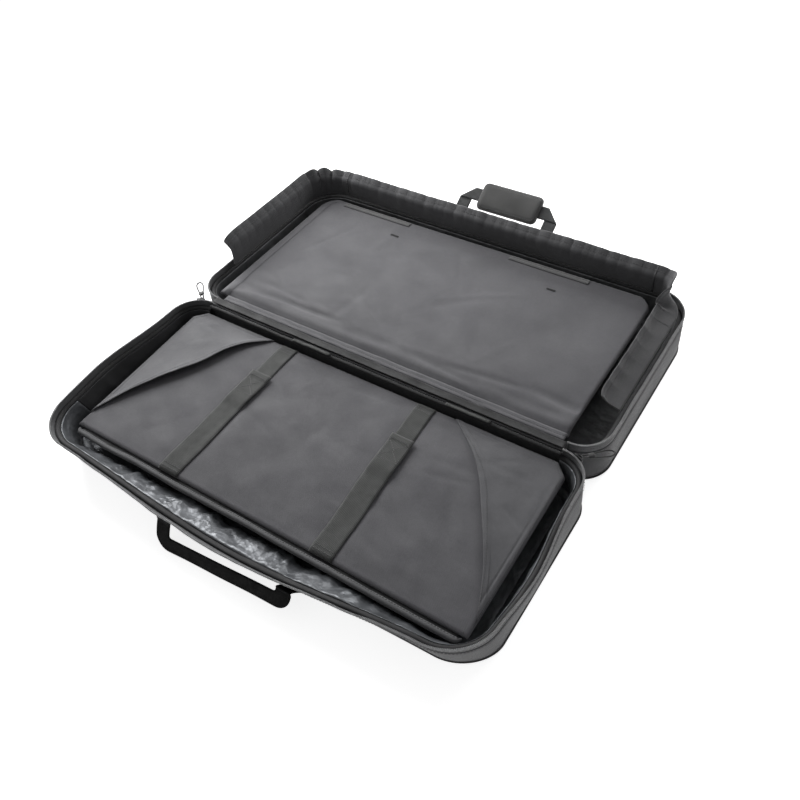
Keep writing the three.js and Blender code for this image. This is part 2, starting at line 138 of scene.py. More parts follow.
def crumple(points, size, seed):
    """Sharp folds with flat facets between them, as in thin coated cloth, from 0 to 1."""
    warped = points + size * 0.35 * np.stack(
        [noise(points, size * 1.3, seed + k) for k in range(points.shape[-1])], axis=-1)
    folds = 1 - np.abs(noise(warped, size, seed + 7)) ** 0.8
    fine = 1 - np.abs(noise(warped, size * 0.45, seed + 9)) ** 0.8
    return 0.68 * folds + 0.32 * fine


def smoothstep(value, low, high):
    """0 below low, 1 above high, and a smooth rise between them."""
    t = np.clip((value - low) / (high - low), 0, 1)
    return t * t * (3 - 2 * t)


def creases(x, y, area, count, seed, length, width, depth, lean=(0, 180)):
    """The sum of short soft folds laid at random over an area (x0, x1, y0, y1)."""
    draw = np.random.default_rng(seed)
    total = np.zeros(np.broadcast(x, y).shape)
    for _ in range(count):
        cx, cy = draw.uniform(area[0], area[1]), draw.uniform(area[2], area[3])
        turn = math.radians(draw.uniform(*lean))
        half = length * draw.uniform(0.5, 1.1) / 2
        wide = width * draw.uniform(0.7, 1.4)
        along = (x - cx) * math.cos(turn) + (y - cy) * math.sin(turn)
        across = (y - cy) * math.cos(turn) - (x - cx) * math.sin(turn)
        bow = across + 0.0016 * along**2 * draw.uniform(-1, 1)
        total += depth * draw.uniform(-1, 0.6) * np.exp(-((bow / wide) ** 2) - (along / half) ** 4)
    return total


def rounded(distance, radius):
    """0 at an edge, rising round a quarter circle to 1 at radius."""
    t = np.clip(distance / radius, 0, 1)
    return np.sqrt(1 - (1 - t) ** 2)


def spaced(length, step, edge=10):
    """Positions from 0 to length, closer together near both ends."""
    close = [0, 0.3, 0.9, 1.8, 3, 4.6, 6.6]
    close = [c * edge / 10 for c in close]
    inner = np.linspace(close[-1], length - close[-1], max(3, round((length - 2 * close[-1]) / step)))
    return np.concatenate([close[:-1], inner, [length - c for c in close[:-1]][::-1]])


# ---------- Meshes ----------


def grid_faces(rows, columns, wrap=False):
    """Four-sided faces over a grid of points, closed across its columns when it wraps."""
    i = np.arange(rows - 1)[:, None] * columns
    j = np.arange(columns if wrap else columns - 1)[None]
    k = (j + 1) % columns
    return np.stack([i + j, i + k, i + columns + k, i + columns + j], -1).reshape(-1, 4)


def lengths(grid, axis):
    """Arc length along an axis of a grid of points, in metres."""
    steps = np.linalg.norm(np.diff(grid, axis=axis), axis=-1)
    start = np.zeros_like(np.take(steps, [0], axis=axis))
    return np.concatenate([start, np.cumsum(steps, axis=axis)], axis=axis) * MM


def grid_uv(grid):
    """Texture coordinates in metres, even along the grid's middle lines."""
    columns = grid.shape[1]
    along = lengths(grid, 0)[:, columns // 2]
    across = lengths(grid, 1)
    across = across - across[:, [columns // 2]]
    return np.stack([np.repeat(along[:, None], columns, 1), across], -1)


def closed(top, bottom):
    """A solid between two matching grids of points: (points, faces, texture coordinates)."""
    rows, columns = top.shape[:2]
    count = rows * columns
    ring = ([(0, j) for j in range(columns)] + [(i, columns - 1) for i in range(1, rows)]
            + [(rows - 1, j) for j in range(columns - 2, -1, -1)] + [(i, 0) for i in range(rows - 2, 0, -1)])
    edge = np.array([i * columns + j for i, j in ring])
    following = np.roll(edge, -1)
    faces = grid_faces(rows, columns)
    rim = np.stack([edge, following, following + count, edge + count], -1)
    uv = grid_uv(top).reshape(-1, 2)
    return (np.concatenate([top.reshape(-1, 3), bottom.reshape(-1, 3)]),
            np.concatenate([faces, faces[:, ::-1] + count, rim]), np.concatenate([uv, uv]))


def grid_normals(grid):
    """The direction that a grid of points faces, at each of its points."""
    along = np.gradient(grid, axis=0)
    across = np.gradient(grid, axis=1)
    normal = np.cross(along, across)
    return normal / np.maximum(np.linalg.norm(normal, axis=-1, keepdims=True), 1e-9)


def slab(middle, thick):
    """A sheet of cloth of the given thickness about a grid of points."""
    offset = grid_normals(middle) * np.asarray(thick)[..., None] / 2
    return closed(middle + offset, middle - offset)


def unit(vectors):
    """The same directions, each of length 1."""
    return vectors / np.maximum(np.linalg.norm(vectors, axis=-1, keepdims=True), 1e-9)


def tube(path, radius, sides=10):
    """A round tube with closed ends along a path. radius is one number or one for each point."""
    tangent = unit(np.gradient(path, axis=0))
    up = np.zeros_like(path)
    up[0] = unit(np.cross(tangent[0], [0.3, 0.2, 1.0]))
    for i in range(1, len(path)):
        up[i] = unit(up[i - 1] - tangent[i] * (up[i - 1] @ tangent[i]))
    side = np.cross(tangent, up)
    radius = np.broadcast_to(radius, len(path)).astype(float).copy()
    radii = np.concatenate([[0.02, 0.6 * radius[0]], radius, [0.6 * radius[-1], 0.02]])
    before, after = tangent[[0]] * radius[0], tangent[[-1]] * radius[-1]
    rings = np.concatenate([path[[0]] - before * 0.6, path[[0]] - before * 0.4, path,
                            path[[-1]] + after * 0.4, path[[-1]] + after * 0.6])
    up = np.concatenate([up[[0, 0]], up, up[[-1, -1]]])
    side = np.concatenate([side[[0, 0]], side, side[[-1, -1]]])
    turn = np.linspace(0, 2 * math.pi, sides, endpoint=False)
    around = np.cos(turn)[None, :, None] * up[:, None] + np.sin(turn)[None, :, None] * side[:, None]
    points = rings[:, None] + around * radii[:, None, None]
    along = lengths(rings[:, None], 0)[:, 0]
    girth = np.repeat((turn * radius.mean() * MM)[None], len(rings), 0)
    uv = np.stack([np.repeat(along[:, None], sides, 1), girth], -1)
    return points.reshape(-1, 3), grid_faces(len(rings), sides, wrap=True), uv.reshape(-1, 2)


def ribbon(path, across, width, thick, columns=9):
    """Flat webbing along a path, with across the direction of its width."""
    across = unit(np.broadcast_to(np.asarray(across, float), path.shape))
    normal = unit(np.cross(unit(np.gradient(path, axis=0)), across))
    w = np.linspace(-0.5, 0.5, columns)
    full = rounded(width * (0.5 - np.abs(w)), thick * 0.9)
    middle = path[:, None] + across[:, None] * (w * width)[None, :, None]
    offset = normal[:, None] * (thick / 2 * (0.25 + 0.75 * full))[None, :, None]
    return closed(middle + offset, middle - offset)


def copies(template, faces, places, axes):
    """Copies of a small solid, each at a place with its own three axes."""
    points = places[:, None] + np.einsum("vk,nkc->nvc", template, axes)
    count = len(template)
    every = (faces[None] + (np.arange(len(places)) * count)[:, None, None]).reshape(-1, faces.shape[1])
    uv = np.tile(template[:, :2] * MM, (len(places), 1))
    return points.reshape(-1, 3), every, uv


def capsule(length, radius, flat=1.0, sides=6):
    """A small rounded bar along its first axis: (points, faces)."""
    stations = np.array([-0.5, -0.42, -0.2, 0.2, 0.42, 0.5]) * length
    radii = np.array([0.12, 0.7, 1, 1, 0.7, 0.12]) * radius
    turn = np.linspace(0, 2 * math.pi, sides, endpoint=False)
    points = np.stack([np.repeat(stations[:, None], sides, 1), radii[:, None] * np.cos(turn),
                       radii[:, None] * np.sin(turn) * flat], -1)
    return points.reshape(-1, 3), grid_faces(len(stations), sides, wrap=True)


def resample(path, step):
    """The same path with its points a step apart."""
    along = np.concatenate([[0], np.cumsum(np.linalg.norm(np.diff(path, axis=0), axis=1))])
    count = max(2, round(along[-1] / step) + 1)
    at = np.linspace(0, along[-1], count)
    return np.stack([np.interp(at, along, path[:, k]) for k in range(path.shape[1])], -1)


def smooth_curve(points, step=3):
    """A Catmull-Rom curve through points, evenly sampled."""
    p = np.array(points, float)
    p = np.concatenate([[2 * p[0] - p[1]], p, [2 * p[-1] - p[-2]]])
    t = np.linspace(0, 1, 16, endpoint=False)[:, None]
    parts = [0.5 * (2 * b + (c - a) * t + (2 * a - 5 * b + 4 * c - d) * t**2 + (3 * b - a - 3 * c + d) * t**3)
             for a, b, c, d in zip(p[:-3], p[1:-2], p[2:-1], p[3:])]
    return resample(np.concatenate([*parts, p[[-2]]]), step)


STITCH, STITCH_GAP, THREAD = 3.0, 1.5, 0.42


def stitching(path, normal):
    """A row of raised stitches along a path. normal is one direction or one for each point of the path."""
    normal = np.broadcast_to(np.asarray(normal, float), path.shape)
    both = resample(np.concatenate([path, normal], 1), (STITCH + STITCH_GAP) / 2)
    places, up = both[1::2, :3], unit(both[1::2, 3:])
    along = unit(np.gradient(both[:, :3], axis=0)[1::2])
    axes = np.stack([along, np.cross(up, along), up], 1)
    return copies(*capsule(STITCH, THREAD), places, axes)


def joined(*shapes):
    """Several shapes as one."""
    points, faces, uvs, count = [], [], [], 0
    for p, f, uv in shapes:
        points.append(p)
        faces.append(f + count)
        uvs.append(uv)
        count += len(p)
    return np.concatenate(points), np.concatenate(faces), np.concatenate(uvs)


def seams(lines, normal=(0, 0, 1)):
    """Several rows of stitches on one face."""
    return joined(*[stitching(line, normal) for line in lines])


def from_edges(a, b):
    """Distance from the nearest edge of the rectangle that two coordinate grids fill."""
    return np.minimum(np.minimum(a - a.min(), a.max() - a), np.minimum(b - b.min(), b.max() - b))


def make(name, shape, material, body=None, replaces=()):
    """Makes a piece from (points, faces, texture coordinates) in millimetres about the hinge."""
    points, faces, uvs = shape
    mesh = bpy.data.meshes.new(name)
    placed = points * MM
    placed[:, 1] += HINGE_Y
    mesh.from_pydata(placed.tolist(), [], faces.tolist())
    layer = mesh.uv_layers.new(name="cloth")
    corner = np.zeros(len(mesh.loops), np.int32)
    mesh.loops.foreach_get("vertex_index", corner)
    layer.data.foreach_set("uv", uvs[corner].astype(np.float32).ravel())
    solid = bmesh.new()
    solid.from_mesh(mesh)
    bmesh.ops.recalc_face_normals(solid, faces=solid.faces)
    solid.to_mesh(mesh)
    solid.free()
    mesh.shade_smooth()
    mesh.materials.append(material)
    piece = bpy.data.objects.new(name, mesh)
    bpy.context.scene.collection.objects.link(piece)
    if body:
        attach(piece, body)
    if replaces:
        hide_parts(*replaces)
    return piece


# ---------- Materials ----------


WAVE_SCALE = 0.314          # a wave texture of scale 1 repeats every 0.314 m


class Cloth:
    """Builds one fabric material: colour, roughness and relief from layered patterns."""

    def __init__(self, name, color, roughness, coordinates="UV", **sockets):
        self.material = bpy.data.materials.new(name)
        self.material.use_nodes = True
        self.nodes, self.links = self.material.node_tree.nodes, self.material.node_tree.links
        self.shader = self.nodes["Principled BSDF"]
        for socket, value in sockets.items():
            self.shader.inputs[socket.replace("_", " ")].default_value = value
        self.source = self.nodes.new("ShaderNodeTexCoord").outputs[coordinates]
        self.solid = self.nodes.new("ShaderNodeTexCoord").outputs["Object"]
        self.color, self.roughness, self.height, self.tints = color, roughness, None, []

    def link(self, output, target):
        self.links.new(output, target)

    def math(self, kind, *values):
        """One sum in the node tree, of numbers and other nodes' values."""
        node = self.nodes.new("ShaderNodeMath")
        node.operation = kind
        for socket, value in zip(node.inputs, values):
            if isinstance(value, (int, float)):
                socket.default_value = value
            else:
                self.link(value, socket)
        return node.outputs[0]

    def noise(self, size_mm, detail=3.0, where=None, rough=0.55):
        node = self.nodes.new("ShaderNodeTexNoise")
        node.inputs["Scale"].default_value = 1 / (size_mm * MM)
        node.inputs["Detail"].default_value = detail
        node.inputs["Roughness"].default_value = rough
        self.link(where or self.solid, node.inputs["Vector"])
        return node.outputs["Fac"]

    def bands(self, pitch_mm, axis, bend=0.0):
        """Parallel threads at a pitch, from 0 to 1."""
        node = self.nodes.new("ShaderNodeTexWave")
        node.bands_direction = axis
        node.inputs["Scale"].default_value = WAVE_SCALE / (pitch_mm * MM)
        node.inputs["Distortion"].default_value = bend
        node.inputs["Detail"].default_value = 1.0
        self.link(self.source, node.inputs["Vector"])
        return node.outputs["Fac"]

    def weave(self, pitch_mm, bend=0.3):
        """A plain weave: warp and weft threads that pass over each other in turn."""
        checks = self.nodes.new("ShaderNodeTexChecker")
        checks.inputs["Scale"].default_value = 1 / (pitch_mm * MM)
        self.link(self.source, checks.inputs["Vector"])
        warp, weft = self.bands(pitch_mm, "X", bend), self.bands(pitch_mm, "Y", bend)
        over = self.math("MULTIPLY", checks.outputs["Fac"], warp)
        under = self.math("MULTIPLY", self.math("SUBTRACT", 1.0, checks.outputs["Fac"]), weft)
        return self.math("ADD", over, under)

    def facets(self, size_mm):
        """Soft-edged cells, like the flat facets between creases."""
        node = self.nodes.new("ShaderNodeTexVoronoi")
        node.feature = "SMOOTH_F1"
        node.inputs["Scale"].default_value = 1 / (size_mm * MM)
        node.inputs["Smoothness"].default_value = 0.35
        self.link(self.solid, node.inputs["Vector"])
        return node.outputs["Distance"]

    def raise_by(self, pattern, depth_mm):
        """Adds relief of a depth in millimetres."""
        part = self.math("MULTIPLY", pattern, float(depth_mm))
        self.height = part if self.height is None else self.math("ADD", self.height, part)

    def mapped(self, pattern, low, high):
        """A value from low to high as the pattern goes from 0.3 to 0.7."""
        ramp = self.nodes.new("ShaderNodeMapRange")
        for socket, value in zip(("From Min", "From Max", "To Min", "To Max"), (0.3, 0.7, low, high)):
            ramp.inputs[socket].default_value = value
        self.link(pattern, ramp.inputs["Value"])
        return ramp.outputs["Result"]

    def tint(self, pattern, low, high):
        """Multiplies the colour by low to high as the pattern rises."""
        self.tints.append(self.mapped(pattern, low, high))

    def polish(self, pattern, low, high):
        """Makes the roughness follow a pattern."""
        self.link(self.mapped(pattern, low, high), self.shader.inputs["Roughness"])

    def done(self):
        """Wires colour, roughness and relief to the shader, and gives the material."""
        factor = None
        for tint in self.tints:
            factor = tint if factor is None else self.math("MULTIPLY", factor, tint)
        if factor is None:
            self.shader.inputs["Base Color"].default_value = (*self.color, 1)
        else:
            scale = self.nodes.new("ShaderNodeVectorMath")
            scale.operation = "SCALE"
            scale.inputs[0].default_value = self.color
            self.link(factor, scale.inputs["Scale"])
            self.link(scale.outputs[0], self.shader.inputs["Base Color"])
        if not self.shader.inputs["Roughness"].is_linked:
            self.shader.inputs["Roughness"].default_value = self.roughness
        if self.height is not None:
            bump = self.nodes.new("ShaderNodeBump")
            bump.inputs["Distance"].default_value = MM
            bump.inputs["Strength"].default_value = 1.0
            self.link(self.height, bump.inputs["Height"])
            self.link(bump.outputs["Normal"], self.shader.inputs["Normal"])
        return self.material


def woven(name, color, roughness, pitch=1.3, depth=0.10, sheen=0.25, dust=0.16, crinkle=0.25,
          coordinates="UV"):
    """Plain woven polyester with a little dust, wear and fine creasing, and painted shade between its
    threads.
    """
    cloth = Cloth(name, color, roughness, coordinates, Sheen_Weight=sheen, Sheen_Roughness=0.45)
    weave = cloth.weave(pitch)
    cloth.raise_by(weave, depth)
    cloth.raise_by(cloth.noise(22, 4), crinkle)
    cloth.raise_by(cloth.noise(2.2, 2), 0.05)
    # Painted shade: the colour darkens with the weave's height, lowest between the threads.
    cloth.tint(weave, 0.84, 1.1)
    cloth.tint(cloth.noise(140, 4), 1 - dust, 1 + dust)
    cloth.tint(cloth.noise(5, 5, rough=0.75), 0.92, 1.08)
    cloth.polish(cloth.noise(45, 4), roughness - 0.08, min(1.0, roughness + 0.1))
    return cloth.done()


def ribbed(name, color, roughness, rib=2.1, sheen=0.2, specular=0.5):
    """Webbing: ribs along its length, crossed by fine picks, with painted shade in the grooves between them.
    """
    cloth = Cloth(name, color, roughness, Sheen_Weight=sheen, Sheen_Roughness=0.4,
                  Specular_IOR_Level=specular)
    ribs = cloth.bands(rib, "Y")
    picks = cloth.bands(1.25, "X", 0.4)
    cloth.raise_by(ribs, 0.34)
    cloth.raise_by(picks, 0.16)
    # Painted shade: the colour darkens in the grooves between the ribs and between the picks.
    cloth.tint(ribs, 0.72, 1.16)
    cloth.tint(picks, 0.9, 1.08)
    cloth.tint(cloth.noise(40, 4), 0.88, 1.12)
    cloth.polish(cloth.noise(12, 3), roughness - 0.1, min(1.0, roughness + 0.08))
    return cloth.done()


def coated(name, color, roughness, metallic=0.25):
    """Thin coated lining: shiny, with small sharp creases that are darkened by painted shade."""
    cloth = Cloth(name, color, roughness, Metallic=metallic, Specular_IOR_Level=0.6)
    creased = cloth.facets(16)
    cloth.raise_by(creased, 1.1)
    cloth.raise_by(cloth.facets(6.5), 0.45)
    cloth.raise_by(cloth.noise(3, 3), 0.12)
    cloth.tint(cloth.noise(60, 4), 0.82, 1.15)
    # Painted shade: the colour darkens along the crease lines between the facets.
    cloth.tint(creased, 1.08, 0.9)
    cloth.polish(cloth.noise(25, 4), roughness - 0.08, roughness + 0.12)
    return cloth.done()


def napped(name, color):
    """Hook-and-loop tape: a dense fuzz of tiny loops, with painted light on their tops and painted shade
    between them.
    """
    cloth = Cloth(name, color, 0.95, Sheen_Weight=0.5, Sheen_Roughness=0.6)
    pile = cloth.noise(0.9, 3)
    cloth.raise_by(pile, 0.5)
    cloth.raise_by(cloth.facets(1.6), 0.4)
    # Painted light and shade: the colour is lighter on the tops of the loops and darker between them.
    cloth.tint(pile, 0.6, 1.5)
    cloth.tint(cloth.noise(18, 3), 0.85, 1.15)
    return cloth.done()


def smooth(name, color, roughness, grain=0.06, **sockets):
    """Moulded or lacquered parts, with fine grain and scuffs."""
    cloth = Cloth(name, color, roughness, "Object", **sockets)
    cloth.raise_by(cloth.noise(0.8, 3), grain)
    cloth.tint(cloth.noise(6, 4), 0.8, 1.25)
    cloth.polish(cloth.noise(4, 4), roughness - 0.1, min(1.0, roughness + 0.15))
    return cloth.done()


SHELL = woven("shell_weave", (0.036, 0.036, 0.039), 0.78, pitch=1.5, depth=0.14)
SHELL_SOLID = woven("shell_weave_flat", (0.036, 0.036, 0.039), 0.8, pitch=1.5, depth=0.14,
                    coordinates="Object")
FLAP = woven("skirt_weave", (0.060, 0.060, 0.064), 0.74, pitch=1.4, depth=0.12, sheen=0.3)
DIVIDER = woven("divider_weave", (0.080, 0.079, 0.087), 0.72, pitch=1.4, depth=0.12, sheen=0.26, dust=0.1)
POCKET = woven("pocket_weave", (0.088, 0.088, 0.095), 0.72, pitch=1.4, depth=0.12, sheen=0.26, dust=0.1)
LIP = woven("lip_weave", (0.085, 0.086, 0.090), 0.7, pitch=1.2, depth=0.1)
BINDING = woven("binding_weave", (0.009, 0.009, 0.010), 0.7, pitch=1.1, depth=0.12, sheen=0.08)
# Painted shade: a near-black cloth in place of the silver lining on the base's left wall, for the shade of
# the narrow gap beside the divider.
SHADED_LEFT_LINING = woven("left_lining_painted_shade", (0.022, 0.022, 0.024), 0.85, pitch=2.2, depth=0.3, sheen=0.1)
LID_LINING = coated("lid_lining", (0.085, 0.087, 0.091), 0.5, metallic=0.1)
LINING = coated("silver_lining", (0.115, 0.121, 0.130), 0.36, metallic=0.45)
WEBBING = ribbed("strap_webbing", (0.058, 0.060, 0.058), 0.78)
HANDLE = ribbed("black_webbing", (0.0025, 0.0025, 0.0026), 0.85, rib=1.7, sheen=0.0, specular=0.12)
HANDLE_GREY = ribbed("grey_webbing", (0.060, 0.062, 0.063), 0.72, rib=1.7)
GRIP = woven("grip_weave", (0.062, 0.062, 0.061), 0.7, pitch=1.3, depth=0.14, sheen=0.25)
HOOK = napped("hook_pile", (0.022, 0.022, 0.023))
TAPE = woven("tape_weave", (0.085, 0.086, 0.090), 0.75, pitch=0.9, depth=0.1)
COIL = smooth("coil_nylon", (0.26, 0.262, 0.266), 0.35, Coat_Weight=0.2)
THREAD_GREY = smooth("grey_thread", (0.10, 0.10, 0.105), 0.6, Sheen_Weight=0.3)
THREAD_DARK = smooth("dark_thread", (0.045, 0.045, 0.047), 0.6, Sheen_Weight=0.3)
METAL = smooth("slider_lacquer", (0.03, 0.03, 0.031), 0.32, Metallic=0.75)
CORD = woven("pull_braid", (0.02, 0.02, 0.021), 0.6, pitch=0.8, depth=0.15)
BOARD = smooth("board_plastic", (0.03, 0.03, 0.032), 0.6)
FOAM = smooth("foam_cells", (0.12, 0.12, 0.122), 0.95, grain=0.4)

# ---------- The wall line of one half ----------


def wall_path(step=4.0):
    """The outer line of the side wall in plan, from the right end of the spine round the far side to the left
    end, with its outward directions: two arrays of (x, distance from the hinge)."""
    near_d, far_d = SPINE_OUT + NEAR_RADIUS, DEPTH - FAR_RADIUS
    far_x = HALF - FAR_RADIUS
    corners = [(SPINE_HALF, near_d, NEAR_RADIUS, -90, 0), (far_x, far_d, FAR_RADIUS, 0, 90),
               (-far_x, far_d, FAR_RADIUS, 90, 180), (-SPINE_HALF, near_d, NEAR_RADIUS, 180, 270)]
    points, outward = [], []
    for cx, cd, radius, a0, a1 in corners:
        turn = np.radians(np.linspace(a0, a1, round(radius * math.pi / 2 / step) + 1))
        direction = np.stack([np.cos(turn), np.sin(turn)], -1)
        corner = np.array([cx, cd]) + direction * radius
        if points:
            gap = np.linalg.norm(corner[0] - points[-1][-1])
            part = np.linspace(0, 1, round(gap / step) + 1)[1:-1, None]
            points.append(points[-1][-1] * (1 - part) + corner[0] * part)
            outward.append(np.repeat(direction[[0]], len(part), 0))
        points.append(corner)
        outward.append(direction)
    return np.concatenate(points), np.concatenate(outward)


WALL, OUTWARD = wall_path()


def front_share(x, d):
    """How much of the front wall's lean a point takes: 1 at the middle of the front, 0 round the corners."""
    return smoothstep(d, DEPTH - 80, DEPTH - 12) * np.cos(math.pi * x / (2 * HALF)) ** 2


def place(side, x, d, z):
    """Stacks coordinates into points; on the base half they settle as its soft walls do."""
    x, d, z = (np.asarray(v, float) for v in np.broadcast_arrays(x, d, z))
    if side == BASE:
        height = np.clip((z - SETTLE_FOOT) / (RIM - SETTLE_FOOT), 0, 1)
        lean = front_share(x, d) * height
        drawn = DRAW_FOOT + (DRAW_RIM - DRAW_FOOT) * height + DRAW_SKEW * smoothstep(x, 0, HALF)
        along = np.clip((d - SPLAY_START) / (SPLAY_END - SPLAY_START), 0, 1)
        splay = SPLAY * height * np.sin(math.pi * along) ** 2 * np.clip(x / (HALF - FAR_RADIUS), -1, 1)
        x, z = x + splay, z - SLUMP_DOWN * lean
        d = d - drawn * smoothstep(d, DRAW_START, DEPTH) + SLUMP_OUT * lean
    return np.stack([x, side * d, z], -1)


def wall_grid(side, profile, part=slice(None)):
    """A grid along the wall line: profile is a list of (how far outwards, height)."""
    out, z = np.array(profile, float).T
    base, direction = WALL[part], OUTWARD[part]
    x = base[:, [0]] + direction[:, [0]] * out
    d = base[:, [1]] + direction[:, [1]] * out
    return place(side, x, d, np.repeat(z[None], len(base), 0))


def push(grid, amount):
    """Moves a grid of points along its own normals."""
    return grid + grid_normals(grid) * amount[..., None]


def outwards(grid, side, part=slice(None)):
    """Outward directions for each point of a wall grid."""
    direction = OUTWARD[part]
    flat = np.stack([direction[:, 0], side * direction[:, 1], np.zeros(len(direction))], -1)
    return np.repeat(flat[:, None], grid.shape[1], 1)


# ---------- Shell, linings, rim binding and zipper of one half ----------

WALL_PROFILE = [(-15, 0.5), (-10, 0.1), (-6, 0.1), (-3.2, 0.7), (-1.2, 2.2), (0.0, 4.6), (0.5, 8), (0.8, 13),
                (1.1, 20), (1.3, 28), (1.3, 36), (1.1, 44), (0.8, 51), (0.4, 57), (0.0, 61.5), (-0.2, 64.0)]


def build_shell(prefix, side):
    """The wall of one half with its welt and stitching, then its panel, spine, rim and zipper."""
    outer = wall_grid(side, WALL_PROFILE)
    hand = outwards(outer, side)
    height = outer[..., 2]
    soft = smoothstep(height, 6, 24) * (1 - smoothstep(height, 54, 64))
    dents = 1.5 * noise(outer, 95, 3) + 0.6 * noise(outer, 34, 4)
    outer = outer + hand * (soft * (dents - 0.3))[..., None]
    inner = outer - hand * 1.9
    inner[..., 2] = np.minimum(inner[..., 2] + 1.2 * (1 - smoothstep(height, 3, 20)), WALL_TOP - 0.2)
    wall = make(f"{prefix}_wall_cloth", closed(outer, inner), SHELL, prefix,
                [f"{prefix}_side_wall"])

    welt = wall_grid(side, [(0.9, 5.2)])[:, 0]
    make(f"{prefix}_bottom_welt", tube(welt, 1.5, 8), BINDING, prefix)
    rows = [stitching(wall_grid(side, [(0.75, 61.0)])[:, 0], outwards(outer, side)[:, 0]),
            stitching(wall_grid(side, [(1.0, 9.4)])[:, 0], outwards(outer, side)[:, 0])]
    make(f"{prefix}_wall_stitching", joined(*rows), THREAD_DARK, prefix)

    build_panel(prefix, side)
    build_spine(prefix, side)
    build_rim(prefix, side)
    build_zipper(prefix, side)


def half_width(d, inset, near_radius=None, far_radius=None):
    """Half the plan width of one half at a distance from the hinge."""
    near = (near_radius or NEAR_RADIUS) - inset
    far = (far_radius or FAR_RADIUS) - inset
    from_near = np.clip(SPINE_OUT + NEAR_RADIUS - d, 0, near)
    from_far = np.clip(d - (DEPTH - FAR_RADIUS), 0, far)
    return HALF - inset - (near - np.sqrt(near**2 - from_near**2)) - (far - np.sqrt(far**2 - from_far**2))


def half_sheet(inset, step):
    """Plan points (x, d) and distances from the edge over a whole half."""
    d = SPINE_OUT + inset + spaced(DEPTH - SPINE_OUT - 2 * inset, step)
    u = 2 * spaced(2 * (HALF - inset), step) / (2 * (HALF - inset)) - 1
    x = u[None] * half_width(d, inset)[:, None]
    d = np.repeat(d[:, None], len(u), 1)
    edge = np.minimum(np.minimum(d - d.min(), d.max() - d), half_width(d, inset) - np.abs(x))
    return x, d, edge


def build_panel(prefix, side):
    """The outer panel of one half, and the lining on its floor."""
    x, d, edge = half_sheet(4.0, 14)
    pucker = 0.35 * noise(np.stack([x, d], -1), 60, 11)
    low = place(side, x, d, 0.15 + 1.0 * (1 - rounded(edge, 7)) + np.clip(pucker, 0, 1) * 0.3)
    top = place(side, x, d, 2.7 - 0.8 * (1 - rounded(edge, 7)) + 0 * d)
    panel = make(f"{prefix}_bottom_cloth", closed(top, low), SHELL_SOLID, prefix,
                 [f"{prefix}_outer_panel"])

    x, d, edge = half_sheet(LINING_INSET + 1.4, 9)
    flat = np.stack([x, d], -1)
    rise = (1.3 * crumple(flat, 46, 21) + 0.7 * noise(flat, 17, 22)) * smoothstep(edge, 0, 12)
    grid = place(side, x, d, 0 * x)
    grid[..., 2] = FLOOR_TOP - 0.1 + rise
    cloth = LINING if side == BASE else LID_LINING
    floor = make(f"{prefix}_floor_cloth", slab(grid, np.full(x.shape, 0.8)), cloth,
                 prefix, [f"{prefix}_floor_lining"])


def build_spine(prefix, side):
    """The low wall beside the hinge."""
    low, high = box_mm(f"{prefix}_spine_wall")
    x = low[0] + spaced(high[0] - low[0], 8)
    z = low[2] + spaced(high[2] - low[2], 5)
    x, z = np.meshgrid(x, z, indexing="ij")
    waves = 0.5 * noise(np.stack([x, z], -1), 45, 31) + 0.25 * noise(np.stack([x, z], -1), 15, 32)
    grid = np.stack([x, side * ((SPINE_OUT + SPINE_IN) / 2 + waves), z], -1)
    spine = make(f"{prefix}_spine_cloth", slab(grid, np.full(x.shape, 2.0)), SHELL, prefix,
                 [f"{prefix}_spine_wall"])


# The rim binding folds over the top of the wall, from the tape's foot to the lining.
RIM_PROFILE = [(-2.4, 64.4), (-2.7, 66.4), (-4.0, 67.8), (-6.2, 68.3), (-8.2, 67.6), (-9.6, 65.6),
               (-10.0, 62.0)]


def lining_profile(bag, foot=8.6):
    """Down from the rim to the floor lining, bagging inwards by up to bag."""
    t = np.linspace(0, 1, 26)
    z = WALL_TOP + 0.6 - (WALL_TOP + 0.6 - foot) * t
    slack = bag * np.sin(math.pi * np.clip(t * 1.08, 0, 1)) ** 0.8 * (0.35 + 0.65 * t)
    turn = 14 * smoothstep(t, 0.93, 1.0)
    return list(zip(-(LINING_INSET + 0.2 + slack + turn), z))


def build_rim(prefix, side):
    """The binding over the wall's top edge, and the wall's lining in three spans."""
    binding = wall_grid(side, RIM_PROFILE)
    binding = push(binding, 0.5 * noise(binding, 26, 41))
    make(f"{prefix}_rim_binding", slab(binding, np.full(binding.shape[:2], 0.9)), BINDING, prefix)

    front = np.abs(WALL[:, 0]) < HALF - 1
    front &= WALL[:, 1] > DEPTH / 2
    indices = np.nonzero(front)[0]
    first, last = indices[0], indices[-1]
    straight = int(0.36 * (first - 12))
    spans = [("lining_right", slice(0, first - straight + 1)),
             ("lining_front", slice(first - straight, last + 8)),
             ("lining_left", slice(last + 7, len(WALL)))]
    for label, part in spans:
        is_front = label == "lining_front"
        grid = lining_grid(side, part)
        if side == LID:
            cloth = LID_LINING
        else:
            # The base's left wall gets the near-black painted-shade cloth; its front and right spans stay
            # silver.
            cloth = LINING if label != "lining_left" else SHADED_LEFT_LINING
        piece = make(f"{prefix}_{label}", slab(grid, np.full(grid.shape[:2], 0.7)), cloth,
                     prefix, [f"{prefix}_wall_lining"] if is_front else ())


